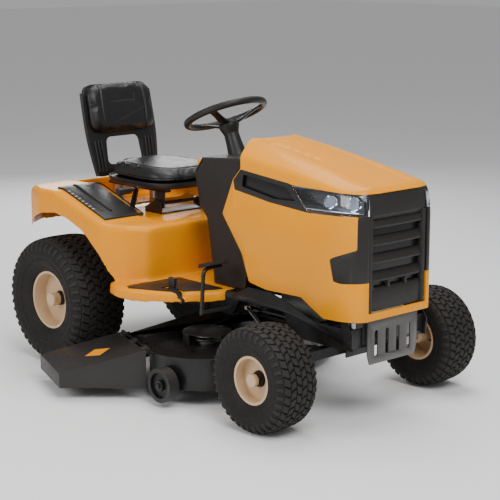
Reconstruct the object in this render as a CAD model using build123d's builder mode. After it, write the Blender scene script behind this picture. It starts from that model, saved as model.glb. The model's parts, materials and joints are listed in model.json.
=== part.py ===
"""Riding lawn mower with a side-discharge deck, built as an assembly of separate pieces.

Machine frame, millimetres: x runs forward from the rear axle, y to the driver's left from the
midline, z up from the ground. Every piece is modelled there and moved by one named shift when it
is written, so that the origin lies on the ground under the middle of the whole machine.
"""

import os
from math import atan2, cos, pi, radians, sin, sqrt

from build123d import *

# ---- driving dimensions: wheels and stance ----
wheelbase = 1220.0
front_track = 850.0
rear_track = 750.0
front_tyre_radius = 188.0
front_tyre_width = 176.0
front_lip_radius = 86.0
rear_tyre_radius = 252.0
rear_tyre_width = 240.0
rear_lip_radius = 116.0
tyre_carcass = 9.0
lip_share = 0.36
rim_plate = 3.5
front_axle_radius = 9.5
rear_axle_radius = 12.7
hub_wall = 12.0

# ---- clearances ----
running_clearance = 0.05
seat_gap = 0.3
trim_gap = 0.4
belt_gap = 0.6

# ---- frame ----
rail_outer_y = 190.0
rail_plate = 4.0
rail_top = 381.0
rail_bottom = 290.0
rail_rear_x = -150.0
rail_front_x = wheelbase + 180.0
rail_flange = 34.0
hitch_plate_thickness = 6.0
hitch_hole_radius = 6.5
hitch_reach = 78.0

# ---- body panels ----
panel_wall = 4.0
platform_z = 600.0
pod_top_z = 702.0
well_half_width = 230.0
fender_half_width = 470.0
fender_rear_x = -312.0
fender_front_x = 478.0
board_top_z = 385.0
board_skirt_z = 340.0
arch_centre = (60.0, 250.0)
arch_radius = 352.0

# ---- hood ----
nose_x = wheelbase + 225.0
nose_top_z = 835.0
hood_rear_top_z = 972.0
hood_half_width = 226.0
nose_half_width = 209.0
hood_wall = 4.0
grille_half_width = 148.0
grille_bottom_z = 404.0
grille_top_z = 819.0
hood_hinge_x = rail_front_x - 2.0
hood_hinge_z = 300.0

# ---- steering ----
steering_wheel_x = 545.0
steering_wheel_z = 1009.0
steering_rim_radius = 153.0
steering_tube_radius = 14.0
column_tilt = 24.7
steering_shaft_radius = 9.5
gear_module = 6.0
pinion_teeth = 8
sector_full_teeth = 40
gear_thickness = 9.0
pinion_z = 370.0
kingpin_y = 308.0
kingpin_radius = 10.0
steering_arm = 80.0

# ---- engine, drive and battery ----
battery_front_x = 336.0
battery_height = 170.0
crank_x = wheelbase - 120.0
crank_radius = 12.7
engine_pulley_radius = 56.0
transaxle_pulley_x = 165.0
transaxle_pulley_radius = 62.0
traction_belt_z = 262.0
deck_belt_z = 200.0
belt_height = 10.0
belt_width = 8.5

# ---- mower deck ----
blade_right = (708.0, -240.0)
blade_left = (548.0, 240.0)
deck_lobe_radius = 252.0
deck_wall = 3.0
deck_top_z = 180.0
deck_bottom_z = 60.0
blade_radius = 244.0
blade_z = 76.0
arbor_radius = 10.0
deck_pulley_radius = 62.0
gauge_radius = 63.5
gauge_width = 44.0
gauge_bolt_radius = 6.0
gauge_z = 83.5
gauge_inner_y = 496.0
gauge_cap = 8.0
chute_front = (690.0, -490.0)
chute_rear = (407.0, -396.0)
chute_hinge_z = 190.0
chute_rod_radius = 4.0
chute_wall = 3.0

# ---- seat ----
seat_half_width = 204.0
seat_pan_z = 700.0
seat_pan_thickness = 26.0
back_top_z = 1078.0
seat_rear_x = -55.0
seat_front_x = 392.0
back_half_width = 174.0
seat_hinge_x = 290.0
seat_hinge_z = 640.0

# ---- pedals and levers ----
pedal_shaft_x = 788.0
pedal_shaft_z = 320.0
pedal_shaft_radius = 7.0
pedal_arm_y = 336.0
pedal_pad_z = 484.0
lift_pivot_x = 150.0
lift_pivot_z = 290.0
lift_grip_x = 298.0
lift_grip_z = 712.0
lift_bar_y = 247.0

# ---- placing the whole machine over its origin ----
chute_outer_front = (462.0, -748.0)
left_reach = gauge_inner_y + gauge_width + gauge_cap
shift_x = -(nose_x + fender_rear_x) / 2
shift_y = -(left_reach + chute_outer_front[1]) / 2

# ---- worked-out places ----
tilt = radians(column_tilt)
column_down = Vector(sin(tilt), 0, -cos(tilt))
column_up = Vector(-sin(tilt), 0, cos(tilt))
wheel_centre = Vector(steering_wheel_x, 0, steering_wheel_z)
pinion_centre = wheel_centre + column_down * ((steering_wheel_z - pinion_z) / cos(tilt))
gear_forward = Vector(cos(tilt), 0, sin(tilt))
pinion_pitch = gear_module * pinion_teeth / 2
sector_pitch = gear_module * sector_full_teeth / 2
sector_pivot = pinion_centre - gear_forward * (pinion_pitch + sector_pitch)
inner_web_y = rail_outer_y - rail_plate

os.makedirs("parts", exist_ok=True)


def finish(piece, name):
    """Label one finished piece and write it, shifted over the machine's origin."""
    placed = piece.moved(Location((shift_x, shift_y, 0)))
    placed.label = name
    export_step(placed, f"parts/{name}.step")


def side_plane(y):
    """A plane facing the driver's right, whose sketch x is the machine's x and sketch y its z."""
    return Plane(origin=(0, y, 0), x_dir=(1, 0, 0), z_dir=(0, -1, 0))


def side_slab(points, y_from, y_to):
    """A side-view outline, extruded from one y to a larger y."""
    with BuildPart() as slab:
        with BuildSketch(side_plane(y_to)):
            with BuildLine():
                Polyline(*points, close=True)
            make_face()
        extrude(amount=y_to - y_from)
    return slab.part


def box_between(low, high):
    """A box given by two opposite corners."""
    size = [b - a for a, b in zip(low, high)]
    middle = tuple((a + b) / 2 for a, b in zip(low, high))
    with BuildPart() as block:
        with Locations(middle):
            Box(*size)
    return block.part


def cylinder_between(start, end, radius):
    """A round bar from one point to another."""
    axis = Vector(*end) - Vector(*start)
    with BuildPart() as bar:
        with BuildSketch(Plane(origin=start, z_dir=axis)):
            Circle(radius)
        extrude(amount=axis.length)
    return bar.part


# ---- frame ----
link_dip_x = 790.0
link_dip_z = 352.0
axle_rail_x = wheelbase - 110
axle_rail_z = 270.0
front_rail_top = 345.0
hump_top = 412.0


def rail_outline():
    """Side view of a rail: it dips to clear the drag links and rises to the hood pivots."""
    return [
        (rail_rear_x, rail_bottom), (link_dip_x, rail_bottom), (link_dip_x + 40, link_dip_z),
        (axle_rail_x - 40, link_dip_z), (axle_rail_x, axle_rail_z), (rail_front_x, axle_rail_z),
        (rail_front_x, front_rail_top), (wheelbase + 4, front_rail_top), (axle_rail_x, 385),
        (axle_rail_x - 110, hump_top), (880, hump_top), (820, rail_top), (rail_rear_x, rail_top),
    ]


def frame_rail(side):
    web_y = sorted((side * inner_web_y, side * rail_outer_y))
    flange_y = sorted((side * (rail_outer_y - rail_flange), side * rail_outer_y))
    with BuildPart() as rail:
        add(side_slab(rail_outline(), *web_y))
        add(box_between(
            (rail_rear_x, flange_y[0], rail_bottom), (link_dip_x, flange_y[1], rail_bottom + rail_plate),
        ))
        add(box_between(
            (axle_rail_x, flange_y[0], axle_rail_z), (rail_front_x, flange_y[1], axle_rail_z + rail_plate),
        ))
    return rail.part


hinge_pin_radius = 6.0
hinge_pin_reach = 13.0
hinge_cheek = 16.0
rails = []
for side in (-1, 1):
    web_y = sorted((side * inner_web_y, side * rail_outer_y))
    with BuildPart() as frame_side:
        add(frame_rail(side))
        add(box_between(
            (hood_hinge_x - hinge_cheek, web_y[0], axle_rail_z),
            (hood_hinge_x + hinge_cheek, web_y[1], hood_hinge_z + hinge_cheek),
        ))
        add(cylinder_between(
            (hood_hinge_x, side * inner_web_y, hood_hinge_z),
            (hood_hinge_x, side * (rail_outer_y + hinge_pin_reach), hood_hinge_z),
            hinge_pin_radius,
        ))
    rails.append(frame_side.part)
finish(Compound(children=rails), "frame_rails")

axle_pivot_z = 225.0
axle_pivot_radius = 12.0
axle_bracket_reach = 40.0
bracket_leg = 6.0
engine_plate_z = 335.0
engine_plate_thickness = 5.0
engine_plate_low = engine_plate_z - engine_plate_thickness
cross_plate = 5.0
bracket_lift = 12.0
bracket_plate = 5.0
axle_pin_x = (wheelbase - axle_bracket_reach, wheelbase + axle_bracket_reach)
bracket_plane = Plane(
    origin=pinion_centre + column_up * bracket_lift, x_dir=gear_forward, z_dir=column_up
)
with BuildPart() as frame_crossmembers:
    for low_x, low_z, high_z in (
        (rail_front_x - cross_plate, axle_rail_z + rail_plate, front_rail_top),
        (rail_rear_x, rail_bottom + rail_plate, rail_top),
        (battery_front_x + 4, rail_top - 40, rail_top),
    ):
        add(box_between((low_x, -inner_web_y, low_z), (low_x + cross_plate, inner_web_y, high_z)))
with BuildPart() as engine_plate:
    add(box_between(
        (crank_x - 150, -inner_web_y, engine_plate_low),
        (crank_x + 115, inner_web_y, engine_plate_z),
    ))
    with Locations((crank_x, 0, engine_plate_z)):
        Hole(radius=30)
with BuildPart() as axle_bracket:
    for leg_x in (axle_pin_x[0], axle_pin_x[1] - bracket_leg):
        add(box_between((leg_x, -60, 196), (leg_x + bracket_leg, 60, engine_plate_low)))
    add(box_between(
        (axle_pin_x[0], -inner_web_y, 322), (axle_pin_x[1], inner_web_y, engine_plate_low),
    ))
    add(cylinder_between(
        (axle_pin_x[0], 0, axle_pivot_z), (axle_pin_x[1], 0, axle_pivot_z), axle_pivot_radius,
    ))
pivot_pin_radius = 8.0
with BuildPart() as steering_bracket:
    with BuildSketch(bracket_plane):
        with Locations((-62, 0)):
            Rectangle(180, 2 * inner_web_y)
        Circle(steering_shaft_radius + running_clearance, mode=Mode.SUBTRACT)
    extrude(amount=bracket_plate)
    with BuildSketch(bracket_plane):
        with Locations((-(pinion_pitch + sector_pitch), 0)):
            Circle(pivot_pin_radius)
    extrude(amount=-(bracket_lift + gear_thickness))

hitch_z = 320.0
with BuildPart() as hitch_plate:
    add(box_between(
        (rail_rear_x - hitch_reach, -70, hitch_z),
        (rail_rear_x - hitch_plate_thickness, 70, hitch_z + hitch_plate_thickness),
    ))
    add(box_between(
        (rail_rear_x - hitch_plate_thickness, -150, 300), (rail_rear_x, 150, 372),
    ))
    with Locations((rail_rear_x - hitch_reach + 24, 0, hitch_z + hitch_plate_thickness)):
        Hole(radius=hitch_hole_radius)
finish(
    Compound(children=[
        frame_crossmembers.part, engine_plate.part, axle_bracket.part,
        steering_bracket.part, hitch_plate.part,
    ]),
    "frame_crossmembers",
)

bumper_x = rail_front_x + 20.0
bumper_top_z = 369.0
bumper_half_width = 128.0
bumper_plate = 4.0
bumper_slots = 4
with BuildPart() as front_bumper:
    with BuildSketch(Plane(origin=(bumper_x, 0, 0), x_dir=(0, 1, 0), z_dir=(1, 0, 0))):
        with BuildLine():
            Polyline(
                (-bumper_half_width + 12, 214), (bumper_half_width - 12, 214), (bumper_half_width, 250),
                (bumper_half_width, bumper_top_z), (-bumper_half_width, bumper_top_z),
                (-bumper_half_width, 250), close=True,
            )
        make_face()
        with GridLocations(56, 1, bumper_slots, 1):
            with Locations((0, 288)):
                SlotOverall(92, 16, rotation=90, mode=Mode.SUBTRACT)
    extrude(amount=bumper_plate)
    add(box_between(
        (rail_front_x, -bumper_half_width, bumper_top_z - bumper_plate),
        (bumper_x, bumper_half_width, bumper_top_z),
    ))
    add(box_between(
        (rail_front_x, -bumper_half_width, 285),
        (rail_front_x + bumper_plate, bumper_half_width, bumper_top_z),
    ))
finish(front_bumper.part, "front_bumper")


# ---- fender and boards ----
fender_skirt_z = 515.0
battery_room_x = 372.0
fuel_filler = (0.0, 360.0)
filler_hole_radius = 27.0
reverse_slot = (596.0, 722.0)
reverse_slot_y = (-362.0, -338.6)
pin_ear_y = -334.6
far = 700.0


def mirrored_outline(points):
    """A plan outline from its right half, listed from front to rear."""
    left = [(x, -y) for x, y in reversed(points)]
    return points + left


def fender_form(inset, floor):
    """The fender's outer form, or with an inset the space inside its skin."""
    plan = mirrored_outline([
        (fender_front_x, -330), (430, -400), (358, -460),
        (300, -fender_half_width), (-50, -fender_half_width),
        (-165, -425), (-250, -360), (fender_rear_x, -270),
    ])
    side = [
        (fender_front_x, floor), (fender_front_x, platform_z - 12), (fender_front_x - 20, platform_z),
        (358, platform_z + 6), (60, pod_top_z), (-140, pod_top_z - 2), (-250, 672), (-296, 610),
        (fender_rear_x, fender_skirt_z), (fender_rear_x, floor),
    ]
    with BuildPart() as form:
        with BuildSketch():
            with BuildLine():
                Polyline(*plan, close=True)
            make_face()
            if inset:
                offset(amount=-inset)
        extrude(amount=pod_top_z + 100)
        with BuildSketch(side_plane(600)):
            with BuildLine():
                Polyline(*side, close=True)
            make_face()
            if inset:
                offset(amount=-inset)
        extrude(amount=1200, mode=Mode.INTERSECT)
        well_side = well_half_width + inset
        with Locations((150, 0, platform_z - inset + 100)):
            Box(680 + 2 * inset, 2 * well_side, 200, mode=Mode.SUBTRACT)
    return form.part


def board_form(inset):
    plan = mirrored_outline([
        (795, -100), (787, -151), (770, -231), (726, -311),
        (681, -374), (603, -428), (505, -471), (448, -472),
        (353, -440), (330, -400),
    ])
    with BuildPart() as form:
        with BuildSketch(Plane.XY.offset(board_skirt_z - (10 if inset else 0))):
            with BuildLine():
                Polyline(*plan, close=True)
            make_face()
            if inset:
                offset(amount=-inset)
        extrude(amount=board_top_z - board_skirt_z + (10 - inset if inset else 0))
    return form.part


reverse_pin = (690.0, 352.0)
reverse_pin_radius = 5.0
slot_low_y = -lift_bar_y - 10
slot_high_y = -lift_bar_y + 10
rail_room_y = rail_outer_y + 8
column_room = 30.0
with BuildPart() as fender_body:
    add(fender_form(0, 330))
    add(fender_form(panel_wall, 300), mode=Mode.SUBTRACT)
    with BuildSketch(side_plane(far)):
        with Locations(arch_centre):
            Circle(arch_radius)
    extrude(amount=2 * far, mode=Mode.SUBTRACT)
    add(box_between((-far, -far, 300), (arch_centre[0], far, fender_skirt_z)), mode=Mode.SUBTRACT)
    add(board_form(0))
    add(board_form(panel_wall), mode=Mode.SUBTRACT)
    add(box_between((340, -rail_room_y, 300), (820, rail_room_y, rail_top)), mode=Mode.SUBTRACT)
    add(box_between((-far, -far, 300), (battery_room_x, far, board_top_z + 35)), mode=Mode.SUBTRACT)
    add(box_between((36, slot_low_y, 560), (330, slot_high_y, 760)), mode=Mode.SUBTRACT)
    add(box_between(
        (reverse_slot[0], reverse_slot_y[0], 300), (reverse_slot[1], reverse_slot_y[1], board_top_z + 15),
    ), mode=Mode.SUBTRACT)
    add(box_between(
        (reverse_pin[0] - 18, reverse_slot_y[1], board_skirt_z), (reverse_pin[0] + 18, pin_ear_y, rail_top),
    ))
    add(cylinder_between(
        (reverse_pin[0], reverse_slot_y[0], reverse_pin[1]), (reverse_pin[0], -336, reverse_pin[1]),
        reverse_pin_radius,
    ))
    add(cylinder_between(wheel_centre, pinion_centre, column_room), mode=Mode.SUBTRACT)
    with Locations((*fuel_filler, 0)):
        Cylinder(radius=filler_hole_radius, height=4 * far, mode=Mode.SUBTRACT)
finish(fender_body.part, "fender_body")

pad_thickness = 3.0
foot_pad_outline = [
    (480, 440), (505, 452), (592, 412), (664, 360), (708, 300),
    (745, 228), (752, 200), (500, 200), (480, 260),
]
with BuildPart() as right_lever_panel:
    add(side_slab(
        [
            (24, pod_top_z + 0.35), (60, pod_top_z + 0.35), (330, 615.42), (330, 622), (62, pod_top_z + 7),
            (24, pod_top_z + 7),
        ],
        -425, slot_high_y + 1,
    ))
    add(box_between((36, slot_low_y, 560), (322, slot_high_y, 760)), mode=Mode.SUBTRACT)
pads = []
for side in (-1, 1):
    with BuildPart() as pad:
        with BuildSketch(Plane.XY.offset(board_top_z + seat_gap)):
            with BuildLine():
                Polyline(*[(x, side * y) for x, y in foot_pad_outline], close=True)
            make_face()
        extrude(amount=pad_thickness)
        if side < 0:
            add(box_between(
                (reverse_slot[0] - 6, reverse_slot_y[0] - 4, 300),
                (reverse_slot[1] + 6, pin_ear_y + 0.6, board_top_z + 35),
            ), mode=Mode.SUBTRACT)
    pads.append(pad.part)
finish(Compound(children=[right_lever_panel.part, *pads]), "fender_trim")

# ---- dash ----
dash_half_width = 166.0
dash_side = [
    (655, board_top_z), (795, board_top_z), (840, 392), (860, 700), (852, 868), (800, 880), (604, 862),
    (552, 792), (578, 671), (620, 631), (645, 481),
]
dash_inner = [
    (661, board_top_z - 1), (900, board_top_z - 1), (900, 866), (852, 866), (799, 875.5), (607, 857.5),
    (557, 791), (582.5, 674), (625, 633), (650, 482),
]
with BuildPart() as dash_pedestal:
    add(side_slab(dash_side, -dash_half_width, dash_half_width))
    dash_inner_y = dash_half_width - panel_wall
    add(side_slab(dash_inner, -dash_inner_y, dash_inner_y), mode=Mode.SUBTRACT)
    add(cylinder_between(wheel_centre, pinion_centre, column_room), mode=Mode.SUBTRACT)
dash_slope = atan2(dash_side[6][1] - dash_side[7][1], dash_side[6][0] - dash_side[7][0])
dash_face = Plane(origin=(578, 0, 827), x_dir=(0, 1, 0), z_dir=(-sin(dash_slope), 0, cos(dash_slope)))
knob_y = -140.0
key_y = 84.0
throttle_y = 128.0
throttle_travel = 44.0
with BuildPart() as dash_pedestal_bored:
    add(dash_pedestal.part)
    with BuildSketch(dash_face.offset(12)):
        with Locations((knob_y, 0), (key_y, 0)):
            Circle(7)
        with Locations((throttle_y, 0)):
            Rectangle(9, throttle_travel)
    extrude(amount=-40, mode=Mode.SUBTRACT)
finish(dash_pedestal_bored.part, "dash_pedestal")

with BuildPart() as dash_panel:
    with BuildSketch(dash_face.offset(trim_gap)):
        Rectangle(2 * dash_half_width - 8, 76)
        with Locations((knob_y, 0)):
            Circle(5.4, mode=Mode.SUBTRACT)
        with Locations((key_y, 0)):
            Circle(6, mode=Mode.SUBTRACT)
        with Locations((throttle_y, 0)):
            Rectangle(4.8, throttle_travel, mode=Mode.SUBTRACT)
    extrude(amount=6)
    add(cylinder_between(wheel_centre, pinion_centre, column_room + 1), mode=Mode.SUBTRACT)
with BuildPart() as column_bushing:
    with BuildSketch(Plane(origin=wheel_centre + column_down * 150, z_dir=column_down)):
        Circle(column_room - 0.2)
        Circle(steering_shaft_radius + running_clearance, mode=Mode.SUBTRACT)
    extrude(amount=26)
finish(Compound(children=[dash_panel.part, column_bushing.part]), "dash_panel")

# ---- steering ----
spoke_count = 3
hub_drop = 46.0
rim_plane = Plane(origin=wheel_centre, x_dir=(0, -1, 0), z_dir=column_up)
with BuildPart() as steering_wheel:
    with BuildSketch(Plane(origin=wheel_centre, x_dir=(0, -1, 0), z_dir=gear_forward)):
        with Locations((steering_rim_radius, 0)):
            Circle(steering_tube_radius)
    revolve(axis=Axis(wheel_centre, column_up))
    with BuildSketch(rim_plane.offset(-hub_drop - 12)):
        Circle(34)
    extrude(amount=24)
    with BuildSketch(rim_plane.offset(-hub_drop - 80)):
        Circle(26)
    extrude(amount=80)
    for step in range(spoke_count):
        turn = radians(90 + 360 / spoke_count * step)
        inner = wheel_centre + column_down * hub_drop
        outward = rim_plane.x_dir * cos(turn) + rim_plane.y_dir * sin(turn)
        outer = wheel_centre + column_down * 6
        spoke_axis = (outer + outward * (steering_rim_radius - 4)) - (inner + outward * 20)
        with BuildSketch(Plane(origin=inner + outward * 20, z_dir=spoke_axis,
                               x_dir=column_up.cross(outward))):
            RectangleRounded(30, 11, 4)
        extrude(amount=spoke_axis.length)
    with BuildSketch(rim_plane.offset(-hub_drop - 81)):
        Circle(steering_shaft_radius + running_clearance)
    extrude(amount=70, mode=Mode.SUBTRACT)
finish(steering_wheel.part, "steering_wheel")


def tooth_ring(plane, teeth, outer_radius, root_radius, span, start):
    """A toothed disc or sector: trapezoid teeth every pitch over the given span of degrees."""
    pitch_angle = 360 / teeth
    count = int(round(span / pitch_angle))
    middle_radius = (outer_radius + root_radius) / 2
    pitch_width = 2 * pi * middle_radius / teeth
    with BuildSketch(plane) as ring:
        Circle(root_radius)
        for step in range(count):
            angle = radians(start + step * pitch_angle)
            along = (cos(angle), sin(angle))
            across = (-sin(angle), cos(angle))
            root_half = pitch_width * 0.30
            tip_half = pitch_width * 0.13
            inner = root_radius - 2
            corners = [
                (inner, -root_half), (outer_radius, -tip_half), (outer_radius, tip_half), (inner, root_half),
            ]
            with BuildLine():
                Polyline(*[(r * along[0] + t * across[0], r * along[1] + t * across[1]) for r, t in corners],
                         close=True)
            make_face()
    return ring.sketch


gear_plane = Plane(origin=pinion_centre, x_dir=gear_forward, z_dir=column_up)
tooth_rise = 0.62 * gear_module
tooth_fall = 0.85 * gear_module
with BuildPart() as steering_shaft:
    with BuildSketch(gear_plane.offset(-gear_thickness / 2 - 2)):
        add(tooth_ring(Plane.XY, pinion_teeth, pinion_pitch + tooth_rise, pinion_pitch - tooth_fall, 360,
                       180 + 180 / pinion_teeth))
    extrude(amount=gear_thickness + 4)
    shaft_length = (wheel_centre - pinion_centre).length - hub_drop - 14
    with BuildSketch(gear_plane):
        Circle(steering_shaft_radius)
    extrude(amount=shaft_length)
finish(steering_shaft.part, "steering_shaft")

sector_plane = Plane(origin=sector_pivot, x_dir=gear_forward, z_dir=column_up)
sector_half_angle = 45.0
ear_angle = 60.0
ear_reach = 80.0
link_drop = 36.0
with BuildPart() as steering_sector:
    with BuildSketch(sector_plane.offset(-gear_thickness / 2)):
        add(tooth_ring(Plane.XY, sector_full_teeth, sector_pitch + tooth_rise, sector_pitch - tooth_fall,
                       2 * sector_half_angle + 360 / sector_full_teeth, -sector_half_angle))
        with BuildLine():
            reach = 400.0
            edge = radians(sector_half_angle + 5)
            corner = (reach * cos(edge) - 18, reach * sin(edge))
            Polyline(
                (-18, 0), corner, (-reach, reach), (-reach, -reach), (corner[0], -corner[1]), close=True,
            )
        make_face(mode=Mode.SUBTRACT)
        Circle(24)
        with PolarLocations(ear_reach / 2, 2, -ear_angle, 2 * ear_angle, endpoint=True):
            Rectangle(ear_reach, 20)
        with PolarLocations(ear_reach, 2, -ear_angle, 2 * ear_angle, endpoint=True):
            Circle(12)
            Circle(5, mode=Mode.SUBTRACT)
        Circle(pivot_pin_radius + running_clearance, mode=Mode.SUBTRACT)
    extrude(amount=gear_thickness)
finish(steering_sector.part, "steering_sector")

# ---- front axle ----
beam_low = 206.0
beam_high = 242.0
beam_half = 18.0
pivot_block_half = 30.0
with BuildPart() as front_axle_beam:
    add(box_between(
        (wheelbase - pivot_block_half, -34, beam_low - 4), (wheelbase + pivot_block_half, 34, beam_high + 8),
    ))
    add(box_between(
        (wheelbase - beam_half, -kingpin_y, beam_low), (wheelbase + beam_half, kingpin_y, beam_high),
    ))
    for side in (-1, 1):
        add(cylinder_between(
            (wheelbase, side * kingpin_y, beam_low), (wheelbase, side * kingpin_y, beam_high), 20,
        ))
    add(cylinder_between(
        (axle_pin_x[0], 0, axle_pivot_z), (axle_pin_x[1], 0, axle_pivot_z),
        axle_pivot_radius + running_clearance,
    ), mode=Mode.SUBTRACT)
    for side in (-1, 1):
        add(cylinder_between((wheelbase, side * kingpin_y, 100), (wheelbase, side * kingpin_y, 300),
                             kingpin_radius + running_clearance), mode=Mode.SUBTRACT)
finish(front_axle_beam.part, "front_axle_beam")

arm_z = 262.0
arm_plate = 8.0
arm_tip_x = wheelbase - steering_arm
link_radius = 6.0


def upright(foot, low, high, radius):
    """A round bar standing along z at a point, from one height to another."""
    return cylinder_between((foot.X, foot.Y, low), (foot.X, foot.Y, high), radius)


front_hub_reach = 0.30 * front_tyre_width
ball_radius = 5.0
for side, hand in ((-1, "right"), (1, "left")):
    spindle_y = side * kingpin_y
    stub_end = side * (front_track / 2 + front_hub_reach + 4)
    with BuildPart() as spindle:
        add(cylinder_between(
            (wheelbase, spindle_y, 176), (wheelbase, spindle_y, arm_z + arm_plate), kingpin_radius,
        ))
        add(cylinder_between((wheelbase, spindle_y, 176), (wheelbase, spindle_y, beam_low - seat_gap), 17))
        add(cylinder_between(
            (wheelbase, spindle_y, front_tyre_radius), (wheelbase, stub_end, front_tyre_radius),
            front_axle_radius,
        ))
        add(box_between(
            (arm_tip_x - 12, spindle_y - 13, arm_z), (wheelbase + 13, spindle_y + 13, arm_z + arm_plate),
        ))
        add(cylinder_between((arm_tip_x, spindle_y, arm_z), (arm_tip_x, spindle_y, arm_z + 24), ball_radius))
    finish(spindle.part, f"spindle_{hand}")

    link_outer = Vector(arm_tip_x, spindle_y, arm_z + 2 * arm_plate)
    link_hole = sector_pivot + gear_forward * ear_reach * cos(radians(ear_angle))
    link_hole_y = ear_reach * sin(radians(ear_angle))
    link_inner = Vector(link_hole.X, side * link_hole_y, link_hole.Z - link_drop)
    with BuildPart() as drag_link:
        add(cylinder_between(link_outer, link_inner, link_radius))
        add(upright(link_outer, link_outer.Z - 7.5, link_outer.Z + 7.5, 2 * link_radius))
        add(upright(link_inner, link_inner.Z - 7, link_inner.Z + 7, 11))
        add(upright(link_outer, 200, 400, ball_radius + running_clearance), mode=Mode.SUBTRACT)
        add(upright(link_inner, 200, 400, ball_radius), mode=Mode.SUBTRACT)
    finish(drag_link.part, f"drag_link_{hand}")


# ---- wheels ----
def make_wheel(hand, end, centre, tyre_radius, tyre_width, lip_radius, bore):
    """A rim and a tyre that turn about the machine's y, with the dished side outward."""
    side = -1 if hand == "right" else 1
    spin = Axis(centre, (0, 1, 0))
    across = Plane(origin=centre)
    lip_a = lip_share * tyre_width
    barrel = lip_radius - 6.0
    hub_out = side * 0.30 * tyre_width
    hub_in = -side * 0.34 * tyre_width
    disc_a = side * 0.12 * tyre_width
    with BuildPart() as rim:
        with BuildSketch(across):
            with Locations((barrel - rim_plate / 2, 0)):
                Rectangle(rim_plate, 2 * lip_a)
            with Locations((lip_radius - 4.75, lip_a - 2), (lip_radius - 4.75, -lip_a + 2)):
                Rectangle(9.5, 4)
            with Locations(((barrel + bore) / 2, disc_a)):
                Rectangle(barrel - bore - 6, rim_plate)
            with Locations((bore + running_clearance + hub_wall / 2, (hub_out + hub_in) / 2)):
                Rectangle(hub_wall, abs(hub_out - hub_in))
        revolve(axis=spin)
    with BuildPart() as hub_cap:
        hub_face = Plane(origin=(centre[0], centre[1] + hub_out, centre[2]), z_dir=(0, side, 0))
        with BuildSketch(hub_face.offset(seat_gap)):
            Circle(bore + hub_wall + 3)
        extrude(amount=10, taper=12)
        with BuildSketch(hub_face):
            Circle(bore + 1.5)
        extrude(amount=6, mode=Mode.SUBTRACT)
    finish(Compound(children=[rim.part, hub_cap.part]), f"{end}_rim_{hand}")

    bead = lip_radius + 0.2
    height = tyre_radius - bead
    half = tyre_width / 2
    shoulder_r = tyre_radius - 0.10 * height
    shoulder_a = 0.43 * tyre_width
    bead_a = 0.37 * tyre_width
    wall = tyre_carcass
    with BuildPart() as tyre:
        with BuildSketch(across):
            with BuildLine():
                ThreePointArc((bead, -bead_a), (bead + 0.5 * height, -half), (shoulder_r, -shoulder_a))
                ThreePointArc((shoulder_r, -shoulder_a), (tyre_radius, 0), (shoulder_r, shoulder_a))
                ThreePointArc((shoulder_r, shoulder_a), (bead + 0.5 * height, half), (bead, bead_a))
                Line((bead, bead_a), (bead, bead_a - wall))
                ThreePointArc((bead, bead_a - wall), (bead + 0.5 * height, half - wall),
                              (shoulder_r - wall, shoulder_a - wall))
                ThreePointArc((shoulder_r - wall, shoulder_a - wall), (tyre_radius - 1.4 * wall, 0),
                              (shoulder_r - wall, -shoulder_a + wall))
                ThreePointArc((shoulder_r - wall, -shoulder_a + wall), (bead + 0.5 * height, -half + wall),
                              (bead, -bead_a + wall))
                Line((bead, -bead_a + wall), (bead, -bead_a))
            make_face()
        revolve(axis=spin)
    finish(tyre.part, f"{end}_tyre_{hand}")


for hand, side in (("right", -1), ("left", 1)):
    make_wheel(hand, "front", (wheelbase, side * front_track / 2, front_tyre_radius), front_tyre_radius,
               front_tyre_width, front_lip_radius, front_axle_radius)
    make_wheel(hand, "rear", (0, side * rear_track / 2, rear_tyre_radius), rear_tyre_radius,
               rear_tyre_width, rear_lip_radius, rear_axle_radius)

# ---- engine and transaxle ----
rear_hub_reach = rear_track / 2 + 0.30 * rear_tyre_width
with BuildPart() as transaxle:
    add(box_between((-85, -95, 200), (95, 95, 330)))
    fillet(transaxle.edges().filter_by(Axis.Y), radius=24)
    add(box_between((60, -55, 286), (215, 55, 338)))
    add(cylinder_between((0, -220, rear_tyre_radius), (0, 220, rear_tyre_radius), 30))
    add(box_between((-30, -inner_web_y, 318), (30, inner_web_y, 338)))
with BuildPart() as transaxle_case:
    add(transaxle.part)
    add(cylinder_between(
        (0, -rear_hub_reach, rear_tyre_radius), (0, rear_hub_reach, rear_tyre_radius), rear_axle_radius,
    ))
    add(cylinder_between((transaxle_pulley_x, 0, 240), (transaxle_pulley_x, 0, 290), crank_radius))
finish(transaxle_case.part, "transaxle")


def make_pulley(x, y, groove_z, radius, bore):
    """A sheave whose groove holds a belt centred at the given height."""
    half = belt_height / 2 + belt_gap
    with BuildPart() as sheave:
        with BuildSketch(Plane(origin=(x, y, groove_z), x_dir=(1, 0, 0), z_dir=(0, -1, 0))):
            with Locations((radius / 2 - 5 + bore / 2, 0)):
                Rectangle(radius - 10 - bore, 2 * half)
            with Locations((radius / 2 + bore / 2, half + 1.25), (radius / 2 + bore / 2, -half - 1.25)):
                Rectangle(radius - bore, 2.5)
        revolve(axis=Axis((x, y, groove_z), (0, 0, 1)))
    return sheave.part


with BuildPart() as engine_pulley:
    add(make_pulley(crank_x, 0, traction_belt_z + belt_height / 2, engine_pulley_radius, 0))
    add(make_pulley(crank_x, 0, deck_belt_z + belt_height / 2, engine_pulley_radius, 0))
    add(cylinder_between((crank_x, 0, deck_belt_z), (crank_x, 0, engine_plate_z - 6), crank_radius))
finish(engine_pulley.part, "engine_pulley")
with BuildPart() as transaxle_pulley:
    add(make_pulley(transaxle_pulley_x, 0, traction_belt_z + belt_height / 2, transaxle_pulley_radius,
                    crank_radius + running_clearance))
finish(transaxle_pulley.part, "transaxle_pulley")


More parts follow.
